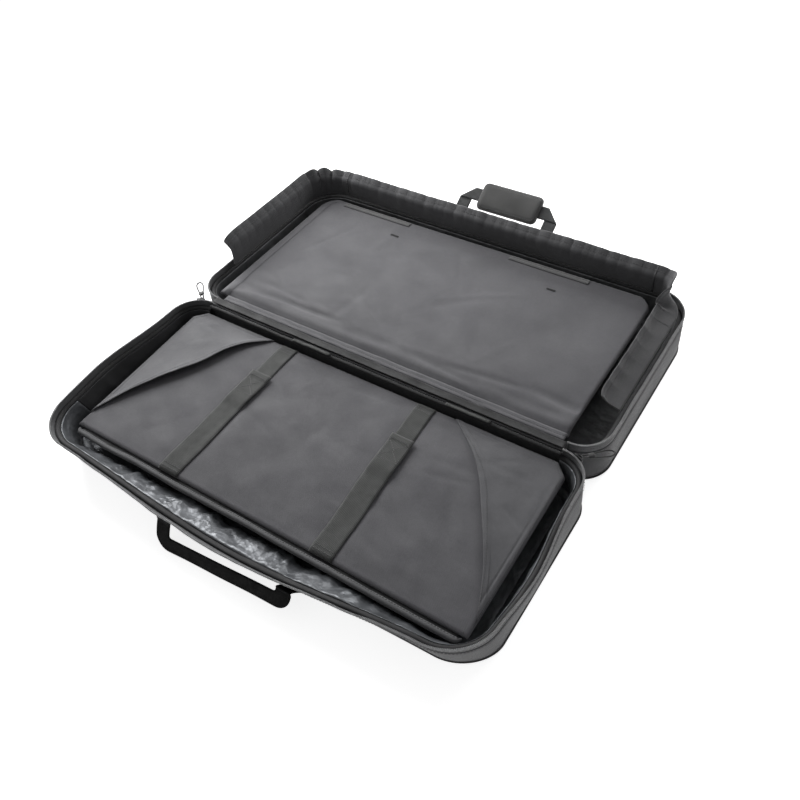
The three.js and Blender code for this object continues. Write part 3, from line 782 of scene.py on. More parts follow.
def lining_grid(side, part):
    """A span of wall lining, which bags and crumples most at the base's soft front."""
    base = wall_grid(side, lining_profile(0), part)
    loose = wall_grid(side, lining_profile(1), part) - base
    share = np.clip(front_share(WALL[part][:, 0], WALL[part][:, 1]) * 1.6, 0, 1)[:, None, None]
    bag = (5 + 25 * share) if side == BASE else 3 + 0 * share
    grid = base + loose * bag
    t = np.linspace(0, 1, grid.shape[1])[None]
    free = np.sin(math.pi * np.clip(t, 0, 1)) ** 0.6
    deep = (2.6 + 6.5 * share[..., 0]) if side == BASE else 1.4 + 0 * share[..., 0]
    lie = grid * np.array([1.0, 0.55, 0.45])
    folds = crumple(lie, 27, 51) - 0.5
    small = crumple(grid, 11, 57) - 0.5
    amount = free * (deep * 1.7 * folds + deep * 0.5 * small)
    inward = -outwards(grid, side, part)
    inward[..., 2] = 0.5
    return grid + unit(inward) * np.clip(amount, -1.5, 9)[..., None]


def build_zipper(prefix, side):
    """One half's zipper tape, teeth and stitching."""
    levels = np.linspace(TAPE_FOOT - 2.2, TAPE_TOP, 8)
    tape = wall_grid(side, [(-1.3, z) for z in levels])
    up = ((levels - levels[0]) / (levels[-1] - levels[0]))[None]
    wave = 0.5 * noise(tape, 40, 61) + 0.25 * noise(tape, 13, 62)
    if side == BASE:
        share = np.clip(front_share(WALL[:, 0], WALL[:, 1]) * 2, 0, 1)[:, None]
        wave = wave + share * (1.9 * noise(tape, 36, 63) + 0.6)
    hand = outwards(tape, side)
    tape = tape + hand * (wave * (0.25 + 0.75 * up))[..., None]
    make(f"{prefix}_tape_cloth", slab(tape, np.full(tape.shape[:2], 1.0)), TAPE, prefix,
         [f"{prefix}_zipper_tape"])

    edge = tape[:, -1] + np.array([0, 0, 1.3])
    along = resample(np.concatenate([edge, hand[:, 0]], 1), 2.1)
    places, out = along[:, :3], unit(along[:, 3:])
    tangent = unit(np.gradient(places, axis=0))
    axes = np.stack([out, tangent, np.cross(out, tangent)], 1)
    teeth = copies(*capsule(3.4, 0.72, flat=1.35, sides=6), places, axes)
    core = tube(resample(edge - [0, 0, 0.9], 4), 0.75, 6)
    make(f"{prefix}_coil_teeth", joined(teeth, core), COIL, prefix, [f"{prefix}_zipper_coil"])
    seam = tape[:, 4] + hand[:, 0] * 0.62
    make(f"{prefix}_tape_stitching", stitching(seam, hand[:, 0]), THREAD_DARK, prefix)


FOAM_SLACK = 1.1            # round the foam in the base's splayed walls


def build_foam(node, body):
    """A strip of foam with soft edges, in the room its solid holds."""
    low, high = box_mm(node)
    if body == "base":
        # Its solid splays with the wall, so it is made straight, as the lid's is, and then settled.
        front = low[1]
        straight_low, straight_high = box_mm(node.replace("base", "lid"))
        low[0], high[0] = straight_low[0] + FOAM_SLACK, straight_high[0] - FOAM_SLACK
        depths = np.linspace(-high[1], DEPTH, 60)
        settled = place(BASE, (low[0] + high[0]) / 2, depths, (low[2] + high[2]) / 2)[..., 1]
        low[1] = -np.interp(-front, -settled, depths)
    across = 0 if high[0] - low[0] < high[1] - low[1] else 1
    run = 1 - across
    a = low[run] + spaced(high[run] - low[run], 12, edge=5)
    z = low[2] + spaced(high[2] - low[2], 8, edge=5)
    a, z = np.meshgrid(a, z, indexing="ij")
    edge = from_edges(a, z)
    thick = (high[across] - low[across]) / 2
    swell = thick * (0.25 + 0.7 * rounded(edge, 3))
    swell = swell * (1 - 0.06 * np.abs(noise(np.stack([a, z], -1), 12, 71)))
    faces = []
    for sign in (1, -1):
        grid = np.zeros((*a.shape, 3))
        grid[..., run], grid[..., 2] = a, z
        grid[..., across] = (low[across] + high[across]) / 2 + sign * swell
        faces.append(place(BASE, grid[..., 0], -grid[..., 1], grid[..., 2]) if body == "base" else grid)
    piece = make(node.replace("_foam", "_foam_strip"), closed(*faces), FOAM, body, [node])


# ---------- Hinge ----------


def build_hinge():
    """The cloth hinge, the rolled binding along it and the two short tabs in its channel."""
    low, high = box_mm("hinge_web")
    x = np.linspace(low[0], high[0], 170)
    y = np.linspace(low[1] - 0.3, high[1] + 0.3, 13)
    x, y = np.meshgrid(x, y, indexing="ij")
    flat = np.stack([x, y], -1)
    sag = 0.5 * noise(flat, 30, 81) + 0.25 * noise(flat, 9, 82) - 0.5 * (1 - (y / high[1]) ** 2)
    grid = np.stack([x, y, (low[2] + high[2]) / 2 + sag], -1)
    web = make("hinge_cloth", slab(grid, np.full(x.shape, 1.1)), BINDING, None, ["hinge_web"])
    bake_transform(web)

    low, high = box_mm("hinge_binding")
    x = np.linspace(low[0], high[0], 230)
    centre = (low + high) / 2
    radius = (high[2] - low[2]) / 2
    line = np.stack([x, centre[1] + 0.5 * noise(x[:, None], 50, 83),
                     centre[2] + 0.4 * noise(x[:, None], 30, 84)], -1)
    roll = tube(line, radius * (1 + 0.09 * noise(x[:, None], 11, 85)), 14)
    make("hinge_roll", roll, BINDING, "base", ["hinge_binding"])
    stitches = stitching(line + [0, 1.9, radius * 0.8], (0, 0.6, 1))
    make("hinge_roll_stitching", stitches, THREAD_GREY, "base")

    for label in ("left", "right"):
        low, high = box_mm(f"{label}_spine_tab")
        x = np.linspace(low[0], high[0], 30)
        centre = (low + high) / 2
        line = np.stack([x, 0 * x + centre[1], centre[2] + 0.3 * noise(x[:, None], 14, 86)], -1)
        tab = ribbon(line, (0, 1, 0), high[1] - low[1], high[2] - low[2])
        ends = [stitching(np.array([[e, low[1] + 0.8, high[2]], [e, high[1] - 0.8, high[2]]]), (0, 0, 1))
                for e in (low[0] + 3, low[0] + 6, high[0] - 6, high[0] - 3)]
        make(f"{label}_spine_webbing", joined(tab, *ends), WEBBING, "base",
             [f"{label}_spine_tab"])


# ---------- Base divider ----------

PAD_LOW, PAD_HIGH = box_mm("base_divider_pad")
PAD_THICK = 9.0
PAD_HALF, PAD_NEAR, PAD_FAR = PAD_HIGH[0], -PAD_HIGH[1], -PAD_LOW[1]
LIP_LOW = box_mm("base_divider_lip")[0]
LIP_FAR = -LIP_LOW[1]
PAD_TOP = PAD_HIGH[2]
SEAM_IN = 8.5               # from a pad's edge to its seam
PAD_DROP = 14 / 302         # the pad falls 14 mm towards the front over its 302 mm
CORNER_CUT = 20
STRAP_X = {label: sum(box[0] for box in box_mm(f"{label}_strap_long_webbing")) / 2
           for label in ("left", "right")}


def base_limit(d):
    """Half the base divider's width, with its corners cut off beside the hinge."""
    return PAD_HALF - np.clip(PAD_NEAR + CORNER_CUT - d, 0, CORNER_CUT)


def base_surface(x, d):
    """Height of the padded divider's upper face."""
    x, d = np.broadcast_arrays(np.asarray(x, float), np.asarray(d, float))
    edge = np.minimum(np.minimum(d - PAD_NEAR, base_limit(d) - np.abs(x)), PAD_FAR + 0.5 - d)
    edge = np.clip(edge, 0, None)
    flat = np.stack([x, d], -1)
    height = PAD_TOP - PAD_DROP * (d - PAD_NEAR)
    height = height - PAD_THICK / 2 * (1 - rounded(edge, 8))
    inside = smoothstep(edge, 4, 40)
    crown = 2.2 * inside * np.cos(math.pi * x / (2.3 * PAD_HALF))
    for strap_x in STRAP_X.values():
        crown = crown - 1.5 * inside * np.exp(-(((x - strap_x) / 26) ** 2))
    soft = 1.7 * noise(flat, 95, 91) + 0.5 * noise(flat, 38, 92)
    area = (-PAD_HALF, PAD_HALF, PAD_NEAR, PAD_FAR)
    folds = creases(x, d, area, 34, 93, length=85, width=5.5, depth=0.9)
    between = (STRAP_X["right"] + 12, PAD_HALF - 90, 120, PAD_FAR)
    folds = folds + creases(x, d, between, 9, 94, length=95, width=9, depth=2.3, lean=(15, 60))
    by_hinge = (-PAD_HALF, PAD_HALF, PAD_NEAR + 6, PAD_NEAR + 26)
    hinge = creases(x, d, by_hinge, 16, 95, 110, 3.2, 1.3, lean=(-6, 6))
    seam = -0.7 * np.exp(-(((edge - SEAM_IN) / 1.6) ** 2))
    return height + crown + inside * (soft + folds) + hinge * smoothstep(edge, 0, 8) + seam


def build_base_divider():
    """The base's padded divider with its seam, and the lip along its front."""
    d = PAD_NEAR + spaced(PAD_FAR - PAD_NEAR, 4.2)
    u = 2 * spaced(2 * PAD_HALF, 4.8) / (2 * PAD_HALF) - 1
    x = u[None] * base_limit(d)[:, None]
    d = np.repeat(d[:, None], len(u), 1)
    edge = np.minimum(np.minimum(d - PAD_NEAR, PAD_FAR - d), base_limit(d) - np.abs(x))
    top = np.stack([x, -d, base_surface(x, d)], -1)
    under = PAD_TOP - PAD_DROP * (d - PAD_NEAR) - PAD_THICK / 2 - PAD_THICK / 2 * rounded(edge, 7)
    under = under - 0.6 * noise(np.stack([x, d], -1), 70, 96) * smoothstep(edge, 4, 30)
    bottom = np.stack([x, -d, np.minimum(under, top[..., 2] - 0.4)], -1)
    pad = make("base_divider_cushion", closed(top, bottom), DIVIDER, "base_divider",
               ["base_divider_pad"])

    near = np.linspace(-PAD_HALF + CORNER_CUT + 4, PAD_HALF - CORNER_CUT - 4, 260)
    rows = [np.stack([near, np.full(len(near), PAD_NEAR + SEAM_IN)], -1)]
    run = np.linspace(PAD_NEAR + CORNER_CUT + 4, PAD_FAR - 2, 110)
    for sign in (-1, 1):
        rows.append(np.stack([np.full(len(run), sign * (PAD_HALF - SEAM_IN)), run], -1))
    make("base_divider_stitching", joined(*[on_base(row) for row in rows]), THREAD_DARK,
         "base_divider")
    build_lip()


def on_base(line, lift=0.1):
    """A row of stitches along a plan line (x, d) on the base divider."""
    x, d = line.T
    return stitching(np.stack([x, -d, base_surface(x, d) + lift], -1), (0, 0, 1))


def build_lip():
    """The soft rolled strip along the divider's front edge, beyond a deep groove."""
    width, height, sides = 8.6, 8.6, 20
    centre_d = LIP_FAR - width / 2
    x = -(PAD_HALF - 7) + spaced(2 * (PAD_HALF - 7), 4.0)
    turn = np.linspace(0, 2 * math.pi, sides, endpoint=False)
    end = rounded(np.minimum(x - x[0], x[-1] - x), 9)
    level = PAD_TOP - PAD_DROP * (centre_d - PAD_NEAR) - height / 2 - 0.2
    ring_d = np.sign(np.cos(turn)) * np.abs(np.cos(turn)) ** 0.8 * width / 2
    ring_z = np.sign(np.sin(turn)) * np.abs(np.sin(turn)) ** 0.8 * height / 2
    swell = (0.3 + 0.7 * end) * (1 + 0.07 * noise(x[:, None], 23, 101))
    shift_d = centre_d + 0.9 * noise(x[:, None], 70, 102) - 5 * (1 - end)
    shift_z = level + 1.0 * noise(x[:, None], 55, 103)
    d = shift_d[:, None] + swell[:, None] * ring_d
    z = shift_z[:, None] + swell[:, None] * ring_z
    grid = np.stack([np.repeat(x[:, None], sides, 1), -d, z], -1)
    uv = np.stack([grid[..., 0] * MM, np.repeat((turn * 5.5 * MM)[None], len(x), 0)], -1)
    tips = [np.repeat((grid[k].mean(0) + [shift, 0, 0])[None], sides, 0) for k, shift in ((0, -2), (-1, 2))]
    points = np.concatenate([tips[0], grid.reshape(-1, 3), tips[1]])
    uv = np.concatenate([uv[0], uv.reshape(-1, 2), uv[-1]])
    lip = make("base_divider_roll", (points, grid_faces(len(x) + 2, sides, wrap=True), uv), LIP,
               "base_divider", ["base_divider_lip"])
    weld(lip)
    crest = grid[3:-3, 5] + [0, 2.2, 0.0]
    make("base_divider_roll_stitching", stitching(crest, (0, 0.5, 1)), THREAD_DARK, "base_divider")

    run = np.linspace(x[0] + 5, x[-1] - 5, 150)
    across = np.linspace(PAD_FAR - 5, centre_d, 7)
    xx, dd = np.meshgrid(run, across, indexing="ij")
    groove = level - 1.6 + 0.5 * noise(np.stack([xx, dd], -1), 20, 104)
    # The groove's floor is a sheet of the near-black binding cloth: partly the cloth that joins pad and lip,
    # partly painted shade that keeps the deep groove black.
    web = make("base_divider_groove", slab(np.stack([xx, -dd, groove], -1), np.full(xx.shape, 0.8)), BINDING,
               "base_divider")


def weld(piece):
    """Joins points that lie in one place."""
    solid = bmesh.new()
    solid.from_mesh(piece.data)
    bmesh.ops.remove_doubles(solid, verts=solid.verts, dist=1e-6)
    bmesh.ops.dissolve_degenerate(solid, edges=solid.edges, dist=1e-7)
    bmesh.ops.recalc_face_normals(solid, faces=solid.faces)
    solid.to_mesh(piece.data)
    solid.free()
    piece.data.shade_smooth()


# Each pocket's free edge, as (x share, d share) between its start beside the hinge and its tip.
POCKET_EDGE = {
    "left": [(0.26, 0.17), (0.45, 0.42), (0.80, 0.76)],
    "right": [(0.36, 0.22), (0.60, 0.46), (0.84, 0.74)],
}
POCKET_LIFT = {"left": 10.0, "right": 4.0}
POCKET_HEM = 9.5


def build_pocket(label, sign):
    """A triangle of cloth sewn along the hinge side and the outer side, open along its hemmed edge."""
    low, high = box_mm(f"{label}_corner_pocket")
    start = high[0] if sign < 0 else low[0]
    tip = low[0] if sign < 0 else high[0]
    near, reach = -high[1], -low[1]
    inner = [(start + (tip - start) * u, near + (reach - near) * v) for u, v in POCKET_EDGE[label]]
    free = smooth_curve([(start, near), *inner, (tip, reach)], 3.2)
    cut = sign * CORNER_CUT
    corners = [(start, near), (tip - cut, near), (tip, near + CORNER_CUT), (tip, reach)]
    border = resample(np.array(corners), 1.0)
    border = border[np.linspace(0, len(border) - 1, len(free)).astype(int)]
    gap = np.linalg.norm(border - free, axis=1)[:, None]
    share = spaced(1.0, 0.022, edge=0.25)[None]
    flat = free[:, None] * (1 - share[..., None]) + border[:, None] * share[..., None]
    x, d = flat[..., 0], flat[..., 1]
    along = np.linspace(0, 1, len(free))[:, None]
    from_edge = share * gap
    lift = 1.0 + POCKET_LIFT[label] * np.sin(math.pi * along) ** 0.8 * (1 - share) ** 2.2
    soft = 0.9 * noise(flat, 42, 111) + 0.4 * noise(flat, 16, 112)
    lift = lift + smoothstep(gap, 4, 30) * (1 - share) * soft
    lift = lift + creases(x, d, (min(start, tip), max(start, tip), near, reach), 12, 113 + sign, 70, 5, 0.9)
    hem = 0.8 * (1 - smoothstep(from_edge, POCKET_HEM - 1.2, POCKET_HEM)) * rounded(from_edge + 0.15, 1.2)
    middle = np.stack([x, -d, base_surface(x, d) + np.clip(lift, 0.7, None)], -1)
    top = middle + np.stack([0 * x, 0 * x, 0.55 + hem], -1)
    bottom = middle - [0, 0, 0.5]
    cloth = make(f"{label}_pocket_cloth", closed(top, bottom), POCKET, "base_divider",
                 [f"{label}_corner_pocket"])
    weld(cloth)
    row = int(np.argmin(np.abs(from_edge[len(free) // 2] - (POCKET_HEM - 2.2))))
    outer = int(np.argmin(np.abs(share[0] - 0.96)))
    rows = [top[4:-4, row] + [0, 0, 0.1], top[6:-6, outer] + [0, 0, 0.1]]
    thread = make(f"{label}_pocket_stitching", seams(rows), THREAD_DARK, "base_divider")


def strap_grid(centre, d, width, lift, thick, columns=13):
    """Top and bottom of webbing lying on the base divider. centre gives its middle at each distance."""
    w = np.linspace(-0.5, 0.5, columns)
    x = centre[:, None] + w[None] * width
    dd = np.repeat(d[:, None], columns, 1)
    level = np.repeat(base_surface(centre, d)[:, None], columns, 1) * 0.55 + base_surface(x, dd) * 0.45
    level = np.maximum(level, base_surface(x, dd)) + lift[:, None]
    full = rounded(width * (0.5 - np.abs(w)), thick * 0.8)[None]
    top = np.stack([x, -dd, level + thick * (0.45 + 0.55 * full)], -1)
    bottom = np.stack([x, -dd, level + thick * 0.1 * (1 - full)], -1)
    return top, bottom


STRAP_SKEW = {"left": (4.0, -3.0), "right": (-5.0, 5.0)}
STRAP_THICK = 1.8
STRAP_EASE = 22             # the long webbing comes down over this length past the short one


def build_strap(label):
    """The short webbing, the hook patch on it and the long webbing that holds to the patch."""
    long_low, long_high = box_mm(f"{label}_strap_long_webbing")
    short_low, short_high = box_mm(f"{label}_strap_short_webbing")
    patch_low, patch_high = box_mm(f"{label}_strap_hook_patch")
    near_shift, far_shift = STRAP_SKEW[label]

    def middle(d):
        t = (d - PAD_NEAR) / (PAD_FAR - PAD_NEAR)
        return STRAP_X[label] + near_shift * (1 - t) + far_shift * t + 0.9 * noise(d[:, None], 60, 121)

    def stretch(low, high, step=3.0):
        return np.linspace(-high[1], -low[1], max(6, round((high[1] - low[1]) / step)))

    d = stretch(short_low, short_high)
    top, bottom = strap_grid(middle(d), d, short_high[0] - short_low[0], 0 * d + 0.4, STRAP_THICK)
    make(f"{label}_short_strap", closed(top, bottom), WEBBING, "base_divider",
         [f"{label}_strap_short_webbing"])
    rows = [top[k, 1:-1] + [0, 0, 0.05] for k in (3, 5)]
    make(f"{label}_short_strap_stitching", seams(rows), THREAD_GREY, "base_divider")

    d = stretch(patch_low, patch_high)
    top, bottom = strap_grid(middle(d), d, patch_high[0] - patch_low[0], 0 * d + 2.6, 1.0)
    make(f"{label}_hook_pile", closed(top, bottom), HOOK, f"{label}_strap",
         [f"{label}_strap_hook_patch"])

    d = stretch(long_low, long_high)
    over = 1 - smoothstep(d, -short_low[1], -short_low[1] + STRAP_EASE)
    lift = 0.9 + 3.1 * over + 0.5 * noise(d[:, None], 48, 122)
    fold = 1.0 * (1 - smoothstep(d, d[0] + 11, d[0] + 12.5))
    width = long_high[0] - long_low[0]
    top, bottom = strap_grid(middle(d), d, width, lift, STRAP_THICK)
    top[..., 2] += fold[:, None]
    make(f"{label}_long_strap", closed(top, bottom), WEBBING, f"{label}_strap",
         [f"{label}_strap_long_webbing"])
    columns = top.shape[1]
    end = top[3:16]
    count = len(end)
    box = [end[0, 1:-1], end[-1, 1:-1], end[:, 1], end[:, columns - 2], top[-3, 1:-1], top[-5, 1:-1]]
    cross = [end[np.arange(count), np.linspace(a, b, count).astype(int)]
             for a, b in ((1, columns - 2), (columns - 2, 1))]
    rows = [line + [0, 0, 0.05] for line in box + cross]
    make(f"{label}_long_strap_stitching", seams(rows), THREAD_GREY, f"{label}_strap")


# ---------- Lid divider ----------

LID_LOW, LID_HIGH = box_mm("lid_divider_pad")
LID_CORNER = 34
LID_LEFT_HEM = 20


def lid_limits(d):
    """Left and right ends of the lid divider at a distance from the hinge."""
    into = np.clip(d - (LID_HIGH[1] - LID_CORNER), 0, LID_CORNER)
    cut = LID_CORNER - np.sqrt(LID_CORNER**2 - into**2)
    return LID_LOW[0] + cut, LID_HIGH[0] - cut


def lid_surface(x, d):
    """Height of the lid divider's upper face."""
    x, d = np.broadcast_arrays(np.asarray(x, float), np.asarray(d, float))
    left, right = lid_limits(np.clip(d, LID_LOW[1], LID_HIGH[1]))
    edge = np.minimum(np.minimum(d - LID_LOW[1], LID_HIGH[1] - d), np.minimum(x - left, right - x))
    edge = np.clip(edge, 0, None)
    flat = np.stack([x, d], -1)
    inside = smoothstep(edge, 4, 45)
    middle = np.cos(math.pi * (x - (left + right) / 2) / (1.15 * (right - left)))
    height = LID_HIGH[2] - PAD_THICK / 2 * (1 - rounded(edge, 7)) + 1.8 * inside * middle
    soft = 2.0 * noise(flat, 120, 131) + 0.5 * noise(flat, 42, 132)
    area = (LID_LOW[0], LID_HIGH[0], LID_LOW[1], LID_HIGH[1])
    folds = creases(x, d, area, 30, 133, length=120, width=6.5, depth=1.0)
    by_hinge = (LID_LOW[0], LID_HIGH[0], LID_LOW[1] + 14, LID_LOW[1] + 58)
    hinge = creases(x, d, by_hinge, 24, 134, 130, 7, 2.6, (-9, 9))
    near = d - LID_LOW[1]
    roll = -6.5 * (1 - smoothstep(near + 5 * noise(flat, 90, 135), 2, 46)) * smoothstep(inside, 0, 1)
    roll = roll - 6.0 * np.exp(-((near - 3) / 9) ** 2)
    seam = -0.7 * np.exp(-(((edge - SEAM_IN) / 1.6) ** 2)) + roll
    hem = 0.9 * (1 - smoothstep(x - left, LID_LEFT_HEM - 1.0, LID_LEFT_HEM)) * smoothstep(x - left, 0, 3)
    return height + inside * (soft + folds) + hinge * smoothstep(edge, 0, 8) + seam * (x - left > 15) + hem


def build_lid_divider():
    """The lid's padded divider with its seam, slits, loop strips and sewn flange."""
    d = LID_LOW[1] + spaced(LID_HIGH[1] - LID_LOW[1], 4.2)
    left, right = lid_limits(d)
    u = spaced(LID_HIGH[0] - LID_LOW[0], 4.4) / (LID_HIGH[0] - LID_LOW[0])
    x = left[:, None] + u[None] * (right - left)[:, None]
    d = np.repeat(d[:, None], len(u), 1)
    edge = np.minimum(np.minimum(d - d.min(), d.max() - d), np.minimum(x - left[:, None], right[:, None] - x))
    top = np.stack([x, d, lid_surface(x, d)], -1)
    under = LID_HIGH[2] - PAD_THICK / 2 - PAD_THICK / 2 * rounded(edge, 7)
    bottom = np.stack([x, d, np.minimum(under, top[..., 2] - 0.4)], -1)
    pad = make("lid_divider_cushion", closed(top, bottom), DIVIDER, "lid_divider",
               ["lid_divider_pad"])

    run = np.linspace(LID_LOW[1] + 6, LID_HIGH[1] - 6, 140)
    left_run, right_run = lid_limits(run)
    across = np.linspace(LID_LOW[0] + LID_CORNER, LID_HIGH[0] - LID_CORNER, 240)
    rows = [(left_run + LID_LEFT_HEM - 2.4, run), (right_run - SEAM_IN, run),
            (across, 0 * across + LID_HIGH[1] - SEAM_IN), (across, 0 * across + LID_LOW[1] + SEAM_IN)]
    threads = [stitching(np.stack([a, b, lid_surface(a, b) + 0.1], -1), (0, 0, 1)) for a, b in rows]
    make("lid_divider_stitching", joined(*threads), THREAD_DARK, "lid_divider")
    build_slits()
    for label in ("left", "right"):
        build_loop_strip(label)
    build_flange()


def build_slits():
    """Two short bound slits near the far edge of the lid divider."""
    width = LID_HIGH[0] - LID_LOW[0]
    for label, share, back in (("left", 0.28, 52), ("right", 0.76, 58)):
        x = LID_LOW[0] + width * share + np.linspace(-8, 8, 12)
        d = LID_HIGH[1] - back + 0 * x
        line = np.stack([x, d, lid_surface(x, d) + 0.15], -1)
        rim = [ribbon(line + [0, off, 0.25], (0, 1, 0), 1.7, 0.9, 5) for off in (-1.3, 1.3)]
        slot = ribbon(line - [0, 0, 0.1], (0, 1, 0), 1.6, 0.5, 5)
        make(f"lid_{label}_slit", joined(slot, *rim), BINDING, "lid_divider")


def build_loop_strip(label):
    """A short strip of loop tape on the lid divider."""
    low, high = box_mm(f"lid_{label}_loop_strip")
    x = low[0] + spaced(high[0] - low[0], 3)
    d = np.linspace(low[1], high[1], 9)
    x, d = np.meshgrid(x, d, indexing="ij")
    base = lid_surface(x, d)
    fuzz = 0.15 * noise(np.stack([x, d], -1), 2.5, 141)
    top = np.stack([x, d, base + 0.5 + 1.1 * rounded(from_edges(x, d) + 0.2, 1.6) + fuzz], -1)
    bottom = np.stack([x, d, base + 0.1], -1)
    strip = closed(top, bottom)
    make(f"lid_{label}_loop_pile", strip, HOOK, "lid_divider", [f"lid_{label}_loop_strip"])


def build_flange():
    """The sewn strip between the lid's spine wall and its divider."""
    low, high = box_mm("lid_divider_flange")
    x = low[0] + spaced(high[0] - low[0], 5)
    d = low[1] + spaced(high[1] - low[1], 1.6, edge=4)
    x, d = np.meshgrid(x, d, indexing="ij")
    edge = from_edges(x, d)
    flat = np.stack([x, d], -1)
    puff = 1.2 * rounded(edge, 5) + 0.5 * noise(flat, 24, 151) + 0.8 * creases(
        x, d, (low[0], high[0], low[1], high[1]), 26, 152, 40, 2.2, 1.2, (-20, 20))
    line = 0.8 * np.exp(-(((d - (low[1] + high[1]) / 2) / 1.4) ** 2))
    top = np.stack([x, d, high[2] + puff - line - 1.2 * (1 - rounded(edge, 3))], -1)
    bottom = np.stack([x, d, low[2] + 0.8 * (1 - rounded(edge, 3))], -1)
    strip = make("lid_flange_cloth", closed(top, bottom), DIVIDER, "lid",
                 ["lid_divider_flange"])
    run = np.linspace(low[0] + 4, high[0] - 4, 200)
    middle = (low[1] + high[1]) / 2
    crest = np.stack([run, 0 * run + middle, 0 * run + high[2] + 0.6], -1)
    make("lid_flange_stitching", stitching(crest, (0, 0, 1)), THREAD_DARK, "lid")


# ---------- Skirt: a gathered strip of cloth round the lid, cut where its flaps fold ----------

SEAM_INSET = HALF - abs(in_mm(JOINTS["left_flap_fold"]["pos_m"])[0]) - 1
FLAP_START = box_mm("lid_left_flap")[0][1]
SEAM_Z = box_mm("lid_back_flap")[0][2]
BACK_END = box_mm("lid_back_flap")[1][0]
SIDE_END = box_mm("lid_left_flap")[1][1]
# How each side leans inwards at its foot, how much it curls back and how wide it is.
LEAN = {"right": 75, "back": 6, "left": 3}
CURL = {"right": -22, "back": -58, "left": -44}
SKIRT_WIDTH = {"right": 38, "back": 46, "left": 52}
ROLL_START, ROLL_RUN = 0.5, 0.24        # shares of the width: where the roll starts, and its length
SKIRT_ROOT = 6.0                        # the foot of the skirt, which stands straight up
# Columns of the skirt's grid: the one handed to the corner gathers, one that nothing reads, and its hem's
# seam.
BLEND_COLUMN, LENGTH_COLUMN, HEM_COLUMN = 8, 12, 18


def skirt():
    """The whole skirt as one grid, from the front end of the right flap to that of the left one."""
    seam = WALL - OUTWARD * (SEAM_INSET + 1)
    keep = WALL[:, 1] >= FLAP_START - 0.5
    seam, hand, line = seam[keep], OUTWARD[keep], WALL[keep]
    fine = resample(np.concatenate([seam, hand, line], 1), 2.2)
    seam, hand = fine[:, :2], unit(fine[:, 2:4])
    turn = np.degrees(np.arctan2(hand[:, 1], hand[:, 0]))

    def mixed(table):
        first = smoothstep(turn, 18, 72)
        second = smoothstep(turn, 108, 162)
        return table["right"] * (1 - first) + (table["back"] * (1 - second) + table["left"] * second) * first

    lean, curl, width = mixed(LEAN), mixed(CURL), mixed(SKIRT_WIDTH)
    ends = np.minimum(seam[:, 1] - FLAP_START, 26)
    width = width - 7 * (1 - rounded(ends, 26))
    share = np.concatenate([np.linspace(0, 0.85, 20), [0.9, 0.94, 0.965, 0.985, 1.0]])
    rise = np.minimum(share[None] * (width[:, None] + SKIRT_ROOT), SKIRT_ROOT)
    past = share[None] * (width[:, None] + SKIRT_ROOT) - rise
    loose = past / width[:, None]
    rolled = 0.25 * loose + 0.95 * smoothstep(loose, ROLL_START, ROLL_START + ROLL_RUN)
    angle = np.radians(lean[:, None] + curl[:, None] * rolled)
    step = np.diff(past, axis=1, prepend=0)
    inward = np.cumsum(np.sin(angle) * step, axis=1)
    up = rise + np.cumsum(np.cos(angle) * step, axis=1)
    left_corner = np.exp(-(((turn - 135) / 27) ** 2))
    right_corner = np.exp(-(((turn - 45) / 30) ** 2))
    along = np.concatenate([[0], np.cumsum(np.linalg.norm(np.diff(seam, axis=0), axis=1))])
    left_folds = 1 - 2 * np.abs(np.sin(along * math.pi / 21)) ** 0.6
    right_folds = 1 - 2 * np.abs(np.sin(along * math.pi / 33)) ** 0.7
    gathers = 9.0 * left_corner * left_folds + 6.0 * right_corner * right_folds
    plan = np.stack([np.repeat(along[:, None], len(share), 1), past], -1)
    sway = gathers[:, None] * loose**1.3 + loose * (2.4 * noise(plan, 75, 161) + 0.9 * noise(plan, 28, 162))
    sway = sway + 1.5 * left_corner[:, None] * loose
    out = -inward * np.ones_like(sway)
    normal_out, normal_up = np.cos(angle), np.sin(angle)
    out, up = out + sway * normal_out, up + sway * normal_up
    up = up + loose * 1.2 * noise(plan, 50, 163)
    x = seam[:, [0]] + hand[:, [0]] * out
    d = seam[:, [1]] + hand[:, [1]] * out
    hem = 1.1 + 1.2 * smoothstep(past, (width - 7.5)[:, None], (width - 6.5)[:, None])
    hem = hem * (0.35 + 0.65 * rounded((width[:, None] - past), 1.6))
    return np.stack([x, d, SEAM_Z + up], -1), hem, seam, turn


def build_skirt():
    """Three flaps and four corner gathers, all cut from one grid so that they meet at rest."""
    grid, hem, seam, turn = skirt()
    parts = {
        "lid_right_flap": (turn < 1) & (seam[:, 1] <= SIDE_END + 2.5),
        "right_corner_front": (turn <= 46.5) & (seam[:, 1] >= SIDE_END),
        "right_corner_back": (turn >= 43.5) & ((turn < 89.5) | (seam[:, 0] >= BACK_END - 2.5)),
        "lid_back_flap": (np.abs(seam[:, 0]) <= BACK_END + 1.5) & (turn > 60) & (turn < 120),
        "left_corner_back": (turn <= 136.5) & (seam[:, 0] <= -BACK_END + 2.5),
        "left_corner_front": (turn >= 133.5) & (seam[:, 1] >= SIDE_END),
        "lid_left_flap": (turn > 179) & (seam[:, 1] <= SIDE_END + 2.5),
    }
    for name, chosen in parts.items():
        rows = np.nonzero(chosen)[0]
        rows = slice(rows[0], rows[-1] + 1)
        cloth, is_flap = grid[rows], "flap" in name
        ends = slice(2, -2) if is_flap else slice(None)
        row, lift = cloth[ends, HEM_COLUMN], grid_normals(cloth)[ends, HEM_COLUMN]
        threads = joined(stitching(row + lift * 0.95, lift), stitching(row - lift * 0.95, -lift))
        shape = slab(cloth, hem[rows])
        if is_flap:
            piece, thread = make_flap(name, shape, threads)
        else:
            piece, thread = make_gather(name, shape, threads, cloth[:, BLEND_COLUMN])


